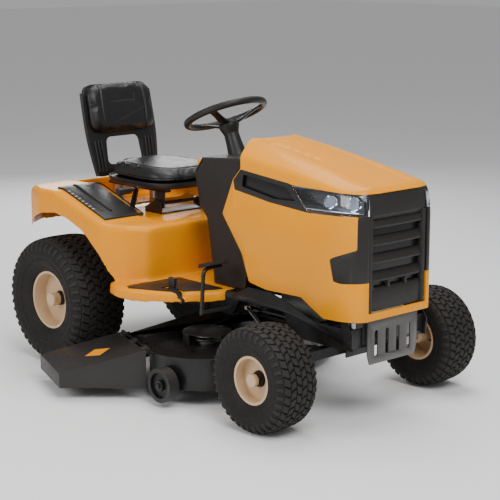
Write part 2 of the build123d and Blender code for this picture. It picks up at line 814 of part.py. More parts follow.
def make_belt(wheels, z):
    """A belt round several sheaves, given as (x, y, sheave radius), lying at one height."""
    with BuildPart() as loop:
        with BuildSketch(Plane.XY.offset(z)):
            for x, y, radius in wheels:
                with Locations((x, y)):
                    Circle(radius - 10 + belt_gap + belt_width)
            make_hull()
            with BuildSketch(mode=Mode.PRIVATE) as inside:
                for x, y, radius in wheels:
                    with Locations((x, y)):
                        Circle(radius - 10 + belt_gap)
                make_hull()
            add(inside.sketch, mode=Mode.SUBTRACT)
        extrude(amount=belt_height)
    return loop.part


finish(make_belt([(crank_x, 0, engine_pulley_radius), (transaxle_pulley_x, 0, transaxle_pulley_radius)],
                 traction_belt_z), "drive_belt")

block_top_z = 500.0
shroud_radius = 152.0
shroud_height = 104.0
shroud_taper = 6.0
head_front_x = crank_x + 230
cooling_fins = 7
fin_pitch = 15.0
with BuildPart() as engine_block:
    add(box_between((crank_x - 115, -120, engine_plate_z), (crank_x + 115, 120, 430)))
    add(box_between((crank_x - 70, -100, 430), (crank_x + 80, 100, block_top_z)))
    add(cylinder_between((crank_x, 0, block_top_z - 6), (crank_x, 0, block_top_z), shroud_radius))
    add(box_between((crank_x + 115, -62, 356), (head_front_x, 62, 480)))
    for step in range(cooling_fins):
        fin_x = crank_x + 124 + step * fin_pitch
        add(box_between((fin_x, -84, 350), (fin_x + 4, 84, 490)))
finish(engine_block.part, "engine_block")
with BuildPart() as engine_shroud:
    with BuildSketch(Plane.XY.offset(block_top_z + seat_gap)):
        with Locations((crank_x, 0)):
            Circle(shroud_radius)
    extrude(amount=shroud_height, taper=shroud_taper)
    with BuildSketch(Plane.XY.offset(block_top_z + seat_gap - 1)):
        with Locations((crank_x, 0)):
            Circle(shroud_radius - 6)
    extrude(amount=shroud_height - 5, taper=shroud_taper, mode=Mode.SUBTRACT)
    with BuildSketch(Plane.XY.offset(block_top_z + 60)):
        with Locations((crank_x, 0)):
            Circle(40)
    extrude(amount=60, mode=Mode.SUBTRACT)
finish(engine_shroud.part, "engine_shroud")
exhaust_x = head_front_x + 32
with BuildPart() as muffler:
    add(box_between((head_front_x + 6, -100, 350), (head_front_x + 54, 100, 430)))
    add(cylinder_between((head_front_x + 6, 0, 400), (head_front_x + seat_gap, 0, 400), 18))
    add(cylinder_between((exhaust_x, -100, 376), (exhaust_x, -160, 376), 13))
    add(cylinder_between((exhaust_x, -160, 392), (exhaust_x, -160, 296), 17))
finish(muffler.part, "muffler")
with BuildPart() as battery:
    add(box_between((150, -62, rail_top + seat_gap), (battery_front_x, 66, rail_top + battery_height)))
    for post_y in (-40, 44):
        add(cylinder_between(
            (175, post_y, rail_top + battery_height - 10), (175, post_y, rail_top + battery_height + 14), 8,
        ))
with BuildPart() as battery_tray:
    add(box_between((140, -inner_web_y, rail_top - 4), (battery_front_x - 1, inner_web_y, rail_top)))
finish(Compound(children=[battery.part, battery_tray.part]), "battery")
cap_z = pod_top_z + 4
filler_neck_radius = 23.0
with BuildPart() as fuel_tank:
    add(box_between((-40, 262, 612), (120, fender_half_width - panel_wall - seat_gap, 676)))
    add(cylinder_between((*fuel_filler, 670), (*fuel_filler, cap_z + 6), filler_neck_radius))
finish(fuel_tank.part, "fuel_tank")
with BuildPart() as fuel_cap:
    with BuildSketch(Plane.XY.offset(cap_z)):
        with Locations(fuel_filler):
            Circle(34)
    extrude(amount=26)
    with BuildSketch(Plane.XY.offset(cap_z)):
        with Locations(fuel_filler):
            Circle(filler_neck_radius + running_clearance)
    extrude(amount=10, mode=Mode.SUBTRACT)
finish(fuel_cap.part, "fuel_cap")


# ---- hood ----
hood_middle_half_width = (hood_half_width + nose_half_width) / 2 + 0.5


def hood_loaf(inset):
    """The hood's closed outer form ahead of the dash, or with an inset the space inside it."""
    stations = (
        (740.0, 0.0, hood_half_width), (nose_x - 295, 8.0, hood_middle_half_width),
        (nose_x, 0.0, nose_half_width),
    )
    rear_x = stations[0][0]
    with BuildPart() as loaf:
        for x, bulge, half_width in stations:
            share = (x - rear_x) / (nose_x - rear_x)
            crown = hood_rear_top_z + (nose_top_z - hood_rear_top_z) * share + bulge - inset
            corner = crown - 14 + 12 * share
            crease = crown - 60 + 30 * share
            corner_y = 112 + 40 * share - inset
            crease_y = half_width - 14 - inset
            side_y = half_width - inset
            with BuildSketch(Plane(origin=(x, 0, 0), x_dir=(0, 1, 0), z_dir=(1, 0, 0))):
                with BuildLine():
                    Polyline((-side_y, 330), (side_y, 330), (side_y, crease - 60), (crease_y, crease),
                             (corner_y, corner), (0, crown), (-corner_y, corner), (-crease_y, crease),
                             (-side_y, crease - 60), close=True)
                make_face()
        loft(ruled=True)
        with BuildSketch():
            with BuildLine():
                front = nose_x - inset
                wide = hood_half_width + 5 - inset
                Polyline(
                    (700, -wide), (nose_x - 115, -wide), (nose_x - 45, -nose_half_width + 14 + inset),
                    (front, -156 + inset), (front, 156 - inset), (nose_x - 45, nose_half_width - 14 - inset),
                    (nose_x - 115, wide), (700, wide), close=True,
                )
            make_face()
        extrude(amount=1100, mode=Mode.INTERSECT)
    return loaf.part


def hood_half_width_at(x):
    """The hood's half width below its crease, ahead of its middle station."""
    share = (nose_x - x) / 295
    return nose_half_width + (hood_middle_half_width - nose_half_width) * share


ahead_x = nose_x + 15
lamp_rear_x = nose_x - 321
vent_rear = [(1014, 748), (832, 772), (825, 805), (862, 849)]
hood_side = [
    (765, 1000), (790, 958), (848, 902), (862, 851), (824, 807), (766, 675), (872, 540), (910, 440),
    (1000, 426),
    (nose_x - 265, 430), (nose_x - 216, 403), (nose_x - 154, 373), (nose_x + 5, 378), (nose_x + 5, 1000),
]
vent_band = [*vent_rear, (lamp_rear_x - 13, 826), (lamp_rear_x, 822), (nose_x - 239, 737)]
lamp_top = [(lamp_rear_x, 822), (nose_x - 25, 818), (ahead_x, 818)]
lamp_band = [*lamp_top, (ahead_x, 744), (nose_x - 21, 744), (nose_x - 235, 735)]
notch_edge = [
    (ahead_x, 516), (nose_x - 77, 508), (nose_x - 109, 512), (nose_x - 127, 585), (nose_x - 115, 594),
    (nose_x - 22, 630),
]
notch_band = [(nose_x - 21, 742), (ahead_x, 742), *notch_edge]
side_window = [
    *vent_rear, (lamp_rear_x - 13, 826), *lamp_top, *notch_edge, (nose_x - 21, 744), (nose_x - 235, 735),
]


def both_sides(points):
    """A side-view outline as a tool that reaches both side walls and the nose corners."""
    with BuildPart() as tool:
        for high_y in (-grille_half_width, 300):
            with BuildSketch(side_plane(high_y)):
                with BuildLine():
                    Polyline(*points, close=True)
                make_face()
            extrude(amount=300 - grille_half_width)
    return tool.part


hood_skin_solid = hood_loaf(0) - hood_loaf(hood_wall)
column_notch = [(700, -96), (780, -96), (858, -60), (863, 0), (858, 60), (780, 96), (700, 96)]
with BuildPart() as hood_shell:
    add(hood_skin_solid)
    with BuildSketch(side_plane(400)):
        with BuildLine():
            Polyline(*hood_side, close=True)
        make_face()
    extrude(amount=800, mode=Mode.INTERSECT)
    add(box_between(
        (nose_x - 65, -grille_half_width, grille_bottom_z), (ahead_x, grille_half_width, grille_top_z),
    ), mode=Mode.SUBTRACT)
    add(both_sides(side_window), mode=Mode.SUBTRACT)
    with BuildSketch(Plane.XY.offset(700)):
        with BuildLine():
            Polyline(*column_notch, close=True)
        make_face()
    extrude(amount=400, mode=Mode.SUBTRACT)
    add(box_between(
        (nose_x - 15, -grille_half_width, 330), (ahead_x, grille_half_width, grille_bottom_z + 16),
    ), mode=Mode.SUBTRACT)
finish(hood_shell.part, "hood_shell")


def hood_inlay(points, low_y, high_y):
    """A piece of the hood's own skin, shrunk by the trim gap, that fills one of its windows."""
    with BuildPart() as inlay:
        add(hood_skin_solid)
        with BuildSketch(side_plane(high_y)):
            with BuildLine():
                Polyline(*points, close=True)
            make_face()
            offset(amount=-trim_gap)
        extrude(amount=high_y - low_y, mode=Mode.INTERSECT)
    return inlay.part


trim_solids = []
lens_solids = []
for low_y, high_y in ((-300, -grille_half_width - trim_gap), (grille_half_width + trim_gap, 300)):
    trim_solids.append(hood_inlay(vent_band, low_y, high_y))
    trim_solids.append(hood_inlay(notch_band, low_y, high_y))
    lens_solids.append(hood_inlay(lamp_band, low_y, high_y))
grille_depth = 26.0
grille_vanes = 7
grille_slots = 3
with BuildPart() as grille:
    add(box_between(
        (nose_x - grille_depth, -grille_half_width + trim_gap, grille_bottom_z),
        (nose_x - 1, grille_half_width - trim_gap, grille_top_z - trim_gap),
    ))
    add(box_between(
        (nose_x - grille_depth - 5, -grille_half_width + 10, grille_bottom_z + 8),
        (nose_x - 8, grille_half_width - 10, 742),
    ), mode=Mode.SUBTRACT)
    for row in range(grille_vanes):
        low = 430 + row * 46
        add(box_between(
            (nose_x - grille_depth, -grille_half_width + 9, low),
            (nose_x - 9, grille_half_width - 9, low + 5),
        ))
    for row in range(grille_slots):
        low = 556 + row * 64
        add(box_between((nose_x - 12, -120, low), (nose_x, 120, low + 26)), mode=Mode.SUBTRACT)
finish(Compound(children=[grille.part, *trim_solids]), "hood_grille")
finish(Compound(children=lens_solids), "headlight_lenses")

reflectors = []
for side in (-1, 1):
    with BuildPart() as reflector:
        span_y = sorted((side * 152, side * 191))
        add(box_between((nose_x - 215, span_y[0], 748), (nose_x - 60, span_y[1], 812)))
        add(cylinder_between(
            (nose_x - 145, side * 171, 780), (nose_x - 59, side * 171, 780), 24,
        ), mode=Mode.SUBTRACT)
    reflectors.append(reflector.part)
finish(Compound(children=reflectors), "headlight_reflectors")

arm_outline = [(-16, 284), (16, 284), (16, 330), (-14, 372), (-14, 480), (-68, 480), (-68, 440), (-46, 400)]
press_gap = 0.05
pad_span_x = (hood_hinge_x - 63, hood_hinge_x - 36)
hood_inner_y = hood_half_width_at(pad_span_x[1]) - hood_wall
arms = []
for side in (-1, 1):
    arm_y = sorted((side * (rail_outer_y + 1), side * (rail_outer_y + 6)))
    pad_y = sorted((side * (rail_outer_y + 5), side * (hood_inner_y - press_gap)))
    with BuildPart() as arm:
        add(side_slab([(hood_hinge_x + x, z) for x, z in arm_outline], *arm_y))
        add(box_between((pad_span_x[0], pad_y[0], 445), (pad_span_x[1], pad_y[1], 475)))
        add(cylinder_between(
            (hood_hinge_x, side * 180, hood_hinge_z), (hood_hinge_x, side * 215, hood_hinge_z),
            hinge_pin_radius + running_clearance,
        ), mode=Mode.SUBTRACT)
    arms.append(arm.part)
finish(Compound(children=arms), "hood_hinge_arms")


# ---- mower deck ----
def deck_outline_sketch(inset, z):
    with BuildSketch(Plane.XY.offset(z)) as outline:
        with Locations(blade_right, blade_left):
            Circle(deck_lobe_radius - inset)
        with Locations((chute_rear[0] + 4, chute_rear[1] + 4 + inset)):
            Circle(3)
        make_hull()
    return outline.sketch


chute_run = Vector(chute_front[0] - chute_rear[0], chute_front[1] - chute_rear[1], 0)
chute_length = chute_run.length
gauge_lead = 76.0
chute_along = chute_run.normalized()
chute_out = Vector(chute_along.Y, -chute_along.X, 0)
hinge_start = Vector(chute_rear[0], chute_rear[1], chute_hinge_z) + chute_out * 12
opening_plane = Plane(origin=hinge_start, x_dir=chute_along, z_dir=(0, 0, 1))


def chute_plane(start):
    """A plane square to the chute's hinge line, at a distance along it."""
    return Plane(origin=hinge_start + chute_along * start, x_dir=(0, 0, 1), z_dir=chute_along)


ear_thickness = 6.0
with BuildPart() as deck_shell:
    with BuildSketch(Plane.XY.offset(deck_bottom_z)):
        add(deck_outline_sketch(0, 0))
    extrude(amount=deck_top_z - deck_bottom_z)
    with BuildSketch(Plane.XY.offset(deck_bottom_z - 1)):
        add(deck_outline_sketch(deck_wall, 0))
    extrude(amount=deck_top_z - deck_bottom_z - deck_wall + 1, mode=Mode.SUBTRACT)
    for centre in (blade_right, blade_left):
        with Locations((*centre, 170)):
            Cylinder(radius=26, height=40, mode=Mode.SUBTRACT)
    with BuildSketch(opening_plane.offset(deck_bottom_z - chute_hinge_z - 1)):
        with Locations((chute_length / 2, 20)):
            Rectangle(chute_length - 40, 120)
    extrude(amount=deck_top_z - deck_bottom_z - 12, mode=Mode.SUBTRACT)
    for start in (4.0, chute_length - ear_thickness - 4.0):
        with BuildSketch(chute_plane(start)):
            Circle(8)
        extrude(amount=ear_thickness)
        with BuildSketch(chute_plane(start)):
            with Locations((-10, -10)):
                Rectangle(16, 34)
        extrude(amount=ear_thickness)
    add(cylinder_between(hinge_start + chute_along * 4, hinge_start + chute_along * (chute_length - 4),
                         chute_rod_radius))
    for centre, side in ((blade_right, -1), (blade_left, 1)):
        bolt_x = centre[0] + gauge_lead
        wall_y = centre[1] + side * (sqrt(deck_lobe_radius ** 2 - gauge_lead ** 2) - 1)
        outer_y = gauge_inner_y + gauge_width
        for start_y, end_y, radius in (
            (wall_y, side * (outer_y + 2), gauge_bolt_radius),
            (side * (outer_y + seat_gap), side * (outer_y + gauge_cap), 10),
        ):
            add(cylinder_between((bolt_x, start_y, gauge_z), (bolt_x, end_y, gauge_z), radius))
finish(deck_shell.part, "deck_shell")

for centre, side, hand in ((blade_right, -1, "right"), (blade_left, 1, "left")):
    bolt_x = centre[0] + gauge_lead
    near = side * gauge_inner_y
    with BuildPart() as gauge:
        for start, end, radius, mode in (
            (0, gauge_width, gauge_radius, Mode.ADD),
            (gauge_width - 12, gauge_width + 1, gauge_radius - 16, Mode.SUBTRACT),
            (0, gauge_width, 20, Mode.ADD),
            (-1, gauge_width + 1, gauge_bolt_radius + running_clearance, Mode.SUBTRACT),
        ):
            add(cylinder_between(
                (bolt_x, near + side * start, gauge_z), (bolt_x, near + side * end, gauge_z), radius,
            ), mode=mode)
    finish(gauge.part, f"gauge_wheel_{hand}")

housings = []
for centre in (blade_right, blade_left):
    with BuildPart() as housing:
        with BuildSketch(Plane.XY.offset(deck_top_z)):
            with Locations(centre):
                Circle(42)
        extrude(amount=8)
        with BuildSketch(Plane.XY.offset(100)):
            with Locations(centre):
                Circle(25)
        extrude(amount=deck_top_z - 96)
        with Locations((*centre, deck_top_z + 8)):
            Hole(radius=arbor_radius + running_clearance)
    housings.append(housing.part)
finish(Compound(children=housings), "spindle_housings")

for centre, hand in ((blade_right, "right"), (blade_left, "left")):
    with BuildPart() as arbor:
        with BuildSketch(Plane.XY.offset(blade_z - 8)):
            with Locations(centre):
                Circle(arbor_radius)
        extrude(amount=deck_belt_z + belt_height + 6 - blade_z + 8)
        add(make_pulley(*centre, deck_belt_z + belt_height / 2, deck_pulley_radius, 0))
    with BuildPart() as blade:
        with BuildSketch(Plane.XY.offset(blade_z)):
            with Locations(centre):
                SlotOverall(2 * blade_radius, 56, rotation=24)
                Circle(arbor_radius + 0.1, mode=Mode.SUBTRACT)
        extrude(amount=5)
    finish(Compound(children=[arbor.part, blade.part]), f"blade_{hand}")

finish(make_belt([(crank_x, 0, engine_pulley_radius), (*blade_right, deck_pulley_radius),
                  (*blade_left, deck_pulley_radius)], deck_belt_z), "deck_belt")

cover_radius = 92.0
cover_top = 224.0
covers = []
for centre, side in ((blade_right, -1), (blade_left, 1)):
    with BuildPart() as cover:
        with BuildSketch(Plane.XY.offset(deck_top_z + seat_gap)):
            with Locations(centre):
                Circle(cover_radius)
        extrude(amount=cover_top - deck_top_z)
        with BuildSketch(Plane.XY.offset(deck_top_z)):
            with Locations(centre):
                Circle(cover_radius - deck_wall)
        extrude(amount=cover_top - deck_top_z - deck_wall, mode=Mode.SUBTRACT)
        opening_x = sorted((centre[0] - 130, centre[0] + 260))
        opening_y = sorted((centre[1] - side * 200, centre[1] + side * 20))
        add(box_between(
            (opening_x[0], opening_y[0], deck_top_z - 1),
            (opening_x[1], opening_y[1], cover_top - deck_wall),
        ), mode=Mode.SUBTRACT)
        add(box_between(
            (centre[0], centre[1] - 100, deck_top_z - 1),
            (opening_x[1], centre[1] + 100, cover_top - deck_wall),
        ), mode=Mode.SUBTRACT)
    covers.append(cover.part)
finish(Compound(children=covers), "belt_covers")

# ---- discharge chute ----
chute_outer_rear = (200.0, -650.0)


def chute_form(inset, floor):
    """A sloping hood outboard of the hinge line; with an inset, the space under its skin."""
    start = hinge_start + chute_out * (14 + (-30 if inset else 0))
    end = start + chute_run
    top = chute_hinge_z + 3 - inset * 1.1
    with BuildPart() as form:
        with BuildSketch(Plane.XY.offset(floor)):
            with BuildLine():
                Polyline((start.X, start.Y), (end.X, end.Y), chute_outer_front, chute_outer_rear, close=True)
            make_face()
            if inset:
                offset(amount=-inset)
        extrude(amount=220 - floor)
        inner_edge = Vector(hinge_start.X, hinge_start.Y, top)
        outer_edge = Vector(*chute_outer_front, 100 - inset * 1.1)
        slope = Plane(origin=inner_edge, z_dir=chute_along.cross(outer_edge - inner_edge) * -1)
        split(bisect_by=slope if slope.z_dir.Z > 0 else -slope, keep=Keep.BOTTOM)
    return form.part


with BuildPart() as discharge_chute:
    add(chute_form(0, 46))
    add(chute_form(chute_wall, 30), mode=Mode.SUBTRACT)
    for start in (14.0, chute_length / 2 - 20, chute_length - 54.0):
        knuckle = chute_plane(start)
        with BuildSketch(knuckle):
            Circle(8)
            with Locations((-2, 10)):
                Rectangle(8, 22)
        extrude(amount=40)
        with BuildSketch(knuckle):
            Circle(chute_rod_radius + running_clearance)
        extrude(amount=40, mode=Mode.SUBTRACT)
finish(discharge_chute.part, "discharge_chute")

# ---- seat ----
spring_radius = 24.0
with BuildPart() as seat_bracket:
    for side in (-1, 1):
        ear_y = sorted((side * 124, side * 130))
        add(side_slab([(205, platform_z), (306, platform_z), (306, 650), (272, 656), (205, 620)], *ear_y))
    add(box_between((205, -130, platform_z), (306, 130, platform_z + 5)))
    add(cylinder_between((seat_hinge_x, -130, seat_hinge_z), (seat_hinge_x, 130, seat_hinge_z), 7))
springs = []
for side in (-1, 1):
    with BuildPart() as coil:
        with BuildSketch(Plane.XY.offset(platform_z)):
            with Locations((-10, side * 96)):
                Circle(spring_radius)
                Circle(spring_radius - 7, mode=Mode.SUBTRACT)
        extrude(amount=684.7 - platform_z)
    springs.append(coil.part)
finish(seat_bracket.part, "seat_bracket")
finish(Compound(children=springs), "seat_springs")
with BuildPart() as seat_rails:
    for side in (-1, 1):
        rail_y = sorted((side * 84, side * 116))
        add(box_between((-50, rail_y[0], 685), (312, rail_y[1], seat_pan_z - seat_gap)))
        ear_y = sorted((side * 112, side * 118))
        add(side_slab([(272, 622), (308, 622), (312, 690), (262, 690)], *ear_y))
    add(box_between((-40, -116, 685), (-10, 116, 691)))
    add(box_between((230, -116, 685), (260, 116, 691)))
    add(cylinder_between((seat_hinge_x, -130, seat_hinge_z), (seat_hinge_x, 130, seat_hinge_z),
                         7 + running_clearance), mode=Mode.SUBTRACT)
finish(seat_rails.part, "seat_rails")

pan_top = seat_pan_z + seat_pan_thickness
back_front = [(-34, pan_top), (-58, 760), (-104, 868), (-154, back_top_z)]
back_rear = [(-170, back_top_z), (-122, 868), (-84, 745), (-62, seat_pan_z + 4)]
back_corner = 46.0
with BuildPart() as back_form:
    add(side_slab(back_front + back_rear, -back_half_width - 6, back_half_width + 6))
    with BuildSketch(Plane.YZ.offset(-far)):
        with Locations((0, back_top_z - far / 2)):
            RectangleRounded(2 * back_half_width + 12, far, back_corner)
    extrude(amount=2 * far, mode=Mode.INTERSECT)
seat_back = back_form.part
with BuildPart() as seat_shell:
    add(box_between((-66, -seat_half_width + 8, seat_pan_z), (380, seat_half_width - 8, pan_top)))
    fillet(seat_shell.edges().filter_by(Axis.Z), radius=44)
    add(seat_back)
    add(box_between((-200, -118, 752), (0, 118, 868)), mode=Mode.SUBTRACT)
finish(seat_shell.part, "seat_shell")
with BuildPart() as seat_cushion:
    cushion_outline = [
        (-30, pan_top + seat_gap), (372, pan_top + seat_gap), (seat_front_x, pan_top + 14), (376, 762),
        (300, 770), (90, 772), (6, 790), (-40, 792), (-48, 762),
    ]
    add(side_slab(cushion_outline, -seat_half_width + 4, seat_half_width - 4))
finish(seat_cushion.part, "seat_cushion")
with BuildPart() as backrest_cushion:
    add(side_slab([(-105.0, 874), (-154.5, 1082), (-120, 1086), (-96, 1050), (-56, 890), (-64, 874)],
                  -back_half_width, back_half_width))
finish(backrest_cushion.part, "backrest_cushion")

# ---- pedals and levers ----
pad_front_x = pedal_shaft_x + 42
pad_rear_x = pedal_shaft_x - 42
for side, name in ((-1, "forward_pedal"), (1, "brake_pedal")):
    with BuildPart() as pedal:
        arm_y = side * pedal_arm_y
        add(cylinder_between((pedal_shaft_x, side * (rail_outer_y + seat_gap), pedal_shaft_z),
                             (pedal_shaft_x, arm_y + side * 6, pedal_shaft_z), pedal_shaft_radius))
        add(cylinder_between(
            (pedal_shaft_x, arm_y, pedal_shaft_z), (pedal_shaft_x + 4, arm_y, pedal_pad_z - 16), 6,
        ))
        add(cylinder_between(
            (pedal_shaft_x + 3, arm_y + side * 2, pedal_pad_z - 18),
            (pedal_shaft_x - 8, arm_y - side * 20, pedal_pad_z - 4), 6.5,
        ))
        pad_y = sorted((arm_y - side * 8, arm_y - side * 112))
        add(side_slab([
            (pad_rear_x, pedal_pad_z - 8), (pad_front_x, pedal_pad_z + 14), (pad_front_x, pedal_pad_z + 22),
            (pad_rear_x, pedal_pad_z),
        ], *pad_y))
    finish(pedal.part, name)

with BuildPart() as reverse_pedal:
    with BuildSketch(side_plane(-341.6)):
        with Locations(reverse_pin):
            Circle(10)
    extrude(amount=14)
    reverse_outline = [
        (692, 344), (694, 360), (650, 392), (656, 430), (622, 432), (622, 384), (668, 350),
    ]
    add(side_slab(reverse_outline, -355.6, -341.6))
    with BuildSketch(side_plane(-340)):
        with Locations(reverse_pin):
            Circle(reverse_pin_radius + running_clearance)
    extrude(amount=20, mode=Mode.SUBTRACT)
finish(reverse_pedal.part, "reverse_pedal")

lift_lean = atan2(lift_grip_x - lift_pivot_x, lift_grip_z - lift_pivot_z)
lift_length = sqrt((lift_grip_x - lift_pivot_x) ** 2 + (lift_grip_z - lift_pivot_z) ** 2)
lift_plane = Plane(
    origin=(lift_pivot_x, -lift_bar_y + 3, lift_pivot_z), x_dir=(cos(lift_lean), 0, -sin(lift_lean)),
    z_dir=(0, -1, 0),
)
with BuildPart() as lift_lever:
    with BuildSketch(lift_plane):
        with Locations((0, lift_length / 2)):
            SlotOverall(lift_length + 24, 24, rotation=90)
    extrude(amount=6)
    add(cylinder_between((lift_grip_x, -lift_bar_y, lift_grip_z), (lift_grip_x, -332, lift_grip_z), 6))
    add(cylinder_between((lift_grip_x, -276, lift_grip_z), (lift_grip_x, -338, lift_grip_z), 14))
    add(cylinder_between(
        (lift_pivot_x, -lift_bar_y - 2, lift_pivot_z),
        (lift_pivot_x, -rail_outer_y - seat_gap, lift_pivot_z), 9,
    ))
finish(lift_lever.part, "lift_lever")

with BuildPart() as pto_knob:
    with BuildSketch(dash_face.offset(8)):
        with Locations((knob_y, 0)):
            Circle(17)
    extrude(amount=18, taper=8)
    with BuildSketch(dash_face.offset(-34)):
        with Locations((knob_y, 0)):
            Circle(5)
    extrude(amount=44)
finish(pto_knob.part, "pto_knob")
with BuildPart() as ignition_key:
    with BuildSketch(dash_face.offset(-20)):
        with Locations((key_y, 0)):
            Circle(5)
    extrude(amount=30)
    with BuildSketch(dash_face.offset(9)):
        with Locations((key_y, 0)):
            Rectangle(5, 24)
    extrude(amount=22)
finish(ignition_key.part, "ignition_key")
throttle_pivot = dash_face.offset(-18).from_local_coords(Vector(throttle_y, 0, 0))
with BuildPart() as throttle_lever:
    add(cylinder_between(
        throttle_pivot - Vector(0, 4, 0), throttle_pivot + Vector(0, 4, 0), 10,
    ))
    with BuildSketch(dash_face.offset(-26)):
        with Locations((throttle_y, 0)):
            Rectangle(4, 16)
    extrude(amount=52)
    with BuildSketch(dash_face.offset(24)):
        with Locations((throttle_y, 0)):
            Rectangle(14, 22)
    extrude(amount=16)
finish(throttle_lever.part, "throttle_lever")
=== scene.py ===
"""The looks of a riding lawn mower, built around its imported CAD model."""

import json
import math

import bmesh
import bpy
from mathutils.bvhtree import BVHTree
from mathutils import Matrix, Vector


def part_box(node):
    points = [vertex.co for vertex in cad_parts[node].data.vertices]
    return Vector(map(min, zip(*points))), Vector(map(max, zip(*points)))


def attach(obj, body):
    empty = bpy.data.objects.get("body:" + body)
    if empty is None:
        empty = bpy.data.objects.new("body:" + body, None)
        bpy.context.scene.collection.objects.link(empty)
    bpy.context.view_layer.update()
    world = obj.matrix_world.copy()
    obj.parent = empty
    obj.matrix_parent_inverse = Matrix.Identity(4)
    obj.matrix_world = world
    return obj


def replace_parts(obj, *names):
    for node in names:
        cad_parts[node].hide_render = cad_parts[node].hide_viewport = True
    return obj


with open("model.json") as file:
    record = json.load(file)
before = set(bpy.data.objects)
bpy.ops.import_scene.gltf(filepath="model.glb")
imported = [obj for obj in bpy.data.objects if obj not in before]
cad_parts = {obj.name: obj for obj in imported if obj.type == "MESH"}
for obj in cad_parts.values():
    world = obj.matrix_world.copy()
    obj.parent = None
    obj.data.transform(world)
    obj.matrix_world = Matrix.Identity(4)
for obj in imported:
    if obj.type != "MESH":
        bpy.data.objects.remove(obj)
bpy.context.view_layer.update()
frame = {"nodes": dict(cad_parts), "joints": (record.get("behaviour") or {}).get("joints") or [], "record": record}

HANDS = ((-1, "right"), (1, "left"))
JOINTS = {joint["name"]: joint for joint in frame["joints"]}


# ---------------------------------------------------------------- places


def joint_point(name):
    """A joint's position in the row frame, in metres."""
    return Vector(JOINTS[name]["pos_m"])


REAR_AXLE = (joint_point("rear_wheel_right_spin") + joint_point("rear_wheel_left_spin")) / 2
MACHINE = Vector((REAR_AXLE.x, REAR_AXLE.y, 0.0))


def mm(x, y, z):
    """A point given in millimetres forward of the rear axle, left of the middle and above the ground."""
    return MACHINE + Vector((x, y, z)) / 1000


def place_camera():
    """The camera at the photograph's viewing angle."""
    lens = bpy.data.cameras.new("view_camera")
    lens.lens = 106.4
    lens.sensor_width = 36.0
    camera = bpy.data.objects.new("view_camera", lens)
    bpy.context.scene.collection.objects.link(camera)
    camera.location = mm(4785, -3770, 1636)
    direction = mm(591, 86, 469) - camera.location
    camera.rotation_euler = direction.to_track_quat("-Z", "Y").to_euler()
    bpy.context.scene.camera = camera


place_camera()


# ---------------------------------------------------------------- finishes


def input_socket(node, name, value):
    """Sets one of a shader node's inputs."""
    node.inputs[name].default_value = value


def texture(tree, kind, coordinates, scale, detail=2.0):
    """A noise or voronoi texture in object coordinates."""
    node = tree.nodes.new("ShaderNodeTexNoise" if kind == "noise" else "ShaderNodeTexVoronoi")
    tree.links.new(coordinates, node.inputs["Vector"])
    input_socket(node, "Scale", scale)
    if kind == "noise":
        input_socket(node, "Detail", detail)
    return node.outputs["Fac" if kind == "noise" else "Distance"]


def finish_look(name, colour, tint, roughness, grain, metallic=0.0, coat=0.0, patch=6.0, edge=0.0, gloss=0.5):
    """A procedural finish: patchy colour and roughness, a painted highlight that lightens sharp convex edges, and a
    grain given as (kind, scale, depth in mm).
    """
    look = bpy.data.materials.new(name)
    look.use_nodes = True
    tree = look.node_tree
    shader = tree.nodes["Principled BSDF"]
    coordinates = tree.nodes.new("ShaderNodeTexCoord").outputs["Object"]
    cloud = texture(tree, "noise", coordinates, patch, 4.0)
    mix = tree.nodes.new("ShaderNodeMix")
    mix.data_type = "RGBA"
    mix.inputs[6].default_value = (*colour, 1)
    mix.inputs[7].default_value = (*tint, 1)
    tree.links.new(cloud, mix.inputs[0])
    shade = mix.outputs[2]
    # Painted highlight: where pointiness marks a sharp convex edge, edge adds a light grey to the colour.
    if edge:
        painted_edge_highlight = tree.nodes.new("ShaderNodeMix")
        painted_edge_highlight.data_type = "RGBA"
        painted_edge_highlight.blend_type = "ADD"
        painted_edge_highlight.inputs[7].default_value = (edge, edge, edge, 1)
        ramp = tree.nodes.new("ShaderNodeMapRange")
        input_socket(ramp, "From Min", 0.51)
        input_socket(ramp, "From Max", 0.60)
        tree.links.new(tree.nodes.new("ShaderNodeNewGeometry").outputs["Pointiness"], ramp.inputs["Value"])
        tree.links.new(ramp.outputs["Result"], painted_edge_highlight.inputs[0])
        tree.links.new(shade, painted_edge_highlight.inputs[6])
        shade = painted_edge_highlight.outputs[2]
    tree.links.new(shade, shader.inputs["Base Color"])
    smudge = texture(tree, "noise", coordinates, patch * 7, 5.0)
    spread = tree.nodes.new("ShaderNodeMapRange")
    input_socket(spread, "From Min", 0.3)
    input_socket(spread, "From Max", 0.7)
    input_socket(spread, "To Min", roughness[0])
    input_socket(spread, "To Max", roughness[1])
    tree.links.new(smudge, spread.inputs["Value"])
    tree.links.new(spread.outputs["Result"], shader.inputs["Roughness"])
    kind, scale, depth = grain
    bump = tree.nodes.new("ShaderNodeBump")
    input_socket(bump, "Distance", depth / 1000)
    input_socket(bump, "Strength", 1.0)
    tree.links.new(texture(tree, kind, coordinates, scale, 3.0), bump.inputs["Height"])
    tree.links.new(bump.outputs["Normal"], shader.inputs["Normal"])
    input_socket(shader, "Metallic", metallic)
    input_socket(shader, "Specular IOR Level", gloss)
    input_socket(shader, "Coat Weight", coat)
    input_socket(shader, "Coat Roughness", 0.06)
    return look


def lens_look(name):
    """Clear moulded lamp plastic."""
    look = finish_look(name, (0.92, 0.95, 1.0), (0.86, 0.91, 0.98), (0.02, 0.06), ("noise", 90.0, 0.05))
    shader = look.node_tree.nodes["Principled BSDF"]
    input_socket(shader, "Transmission Weight", 1.0)
    input_socket(shader, "IOR", 1.45)
    return look
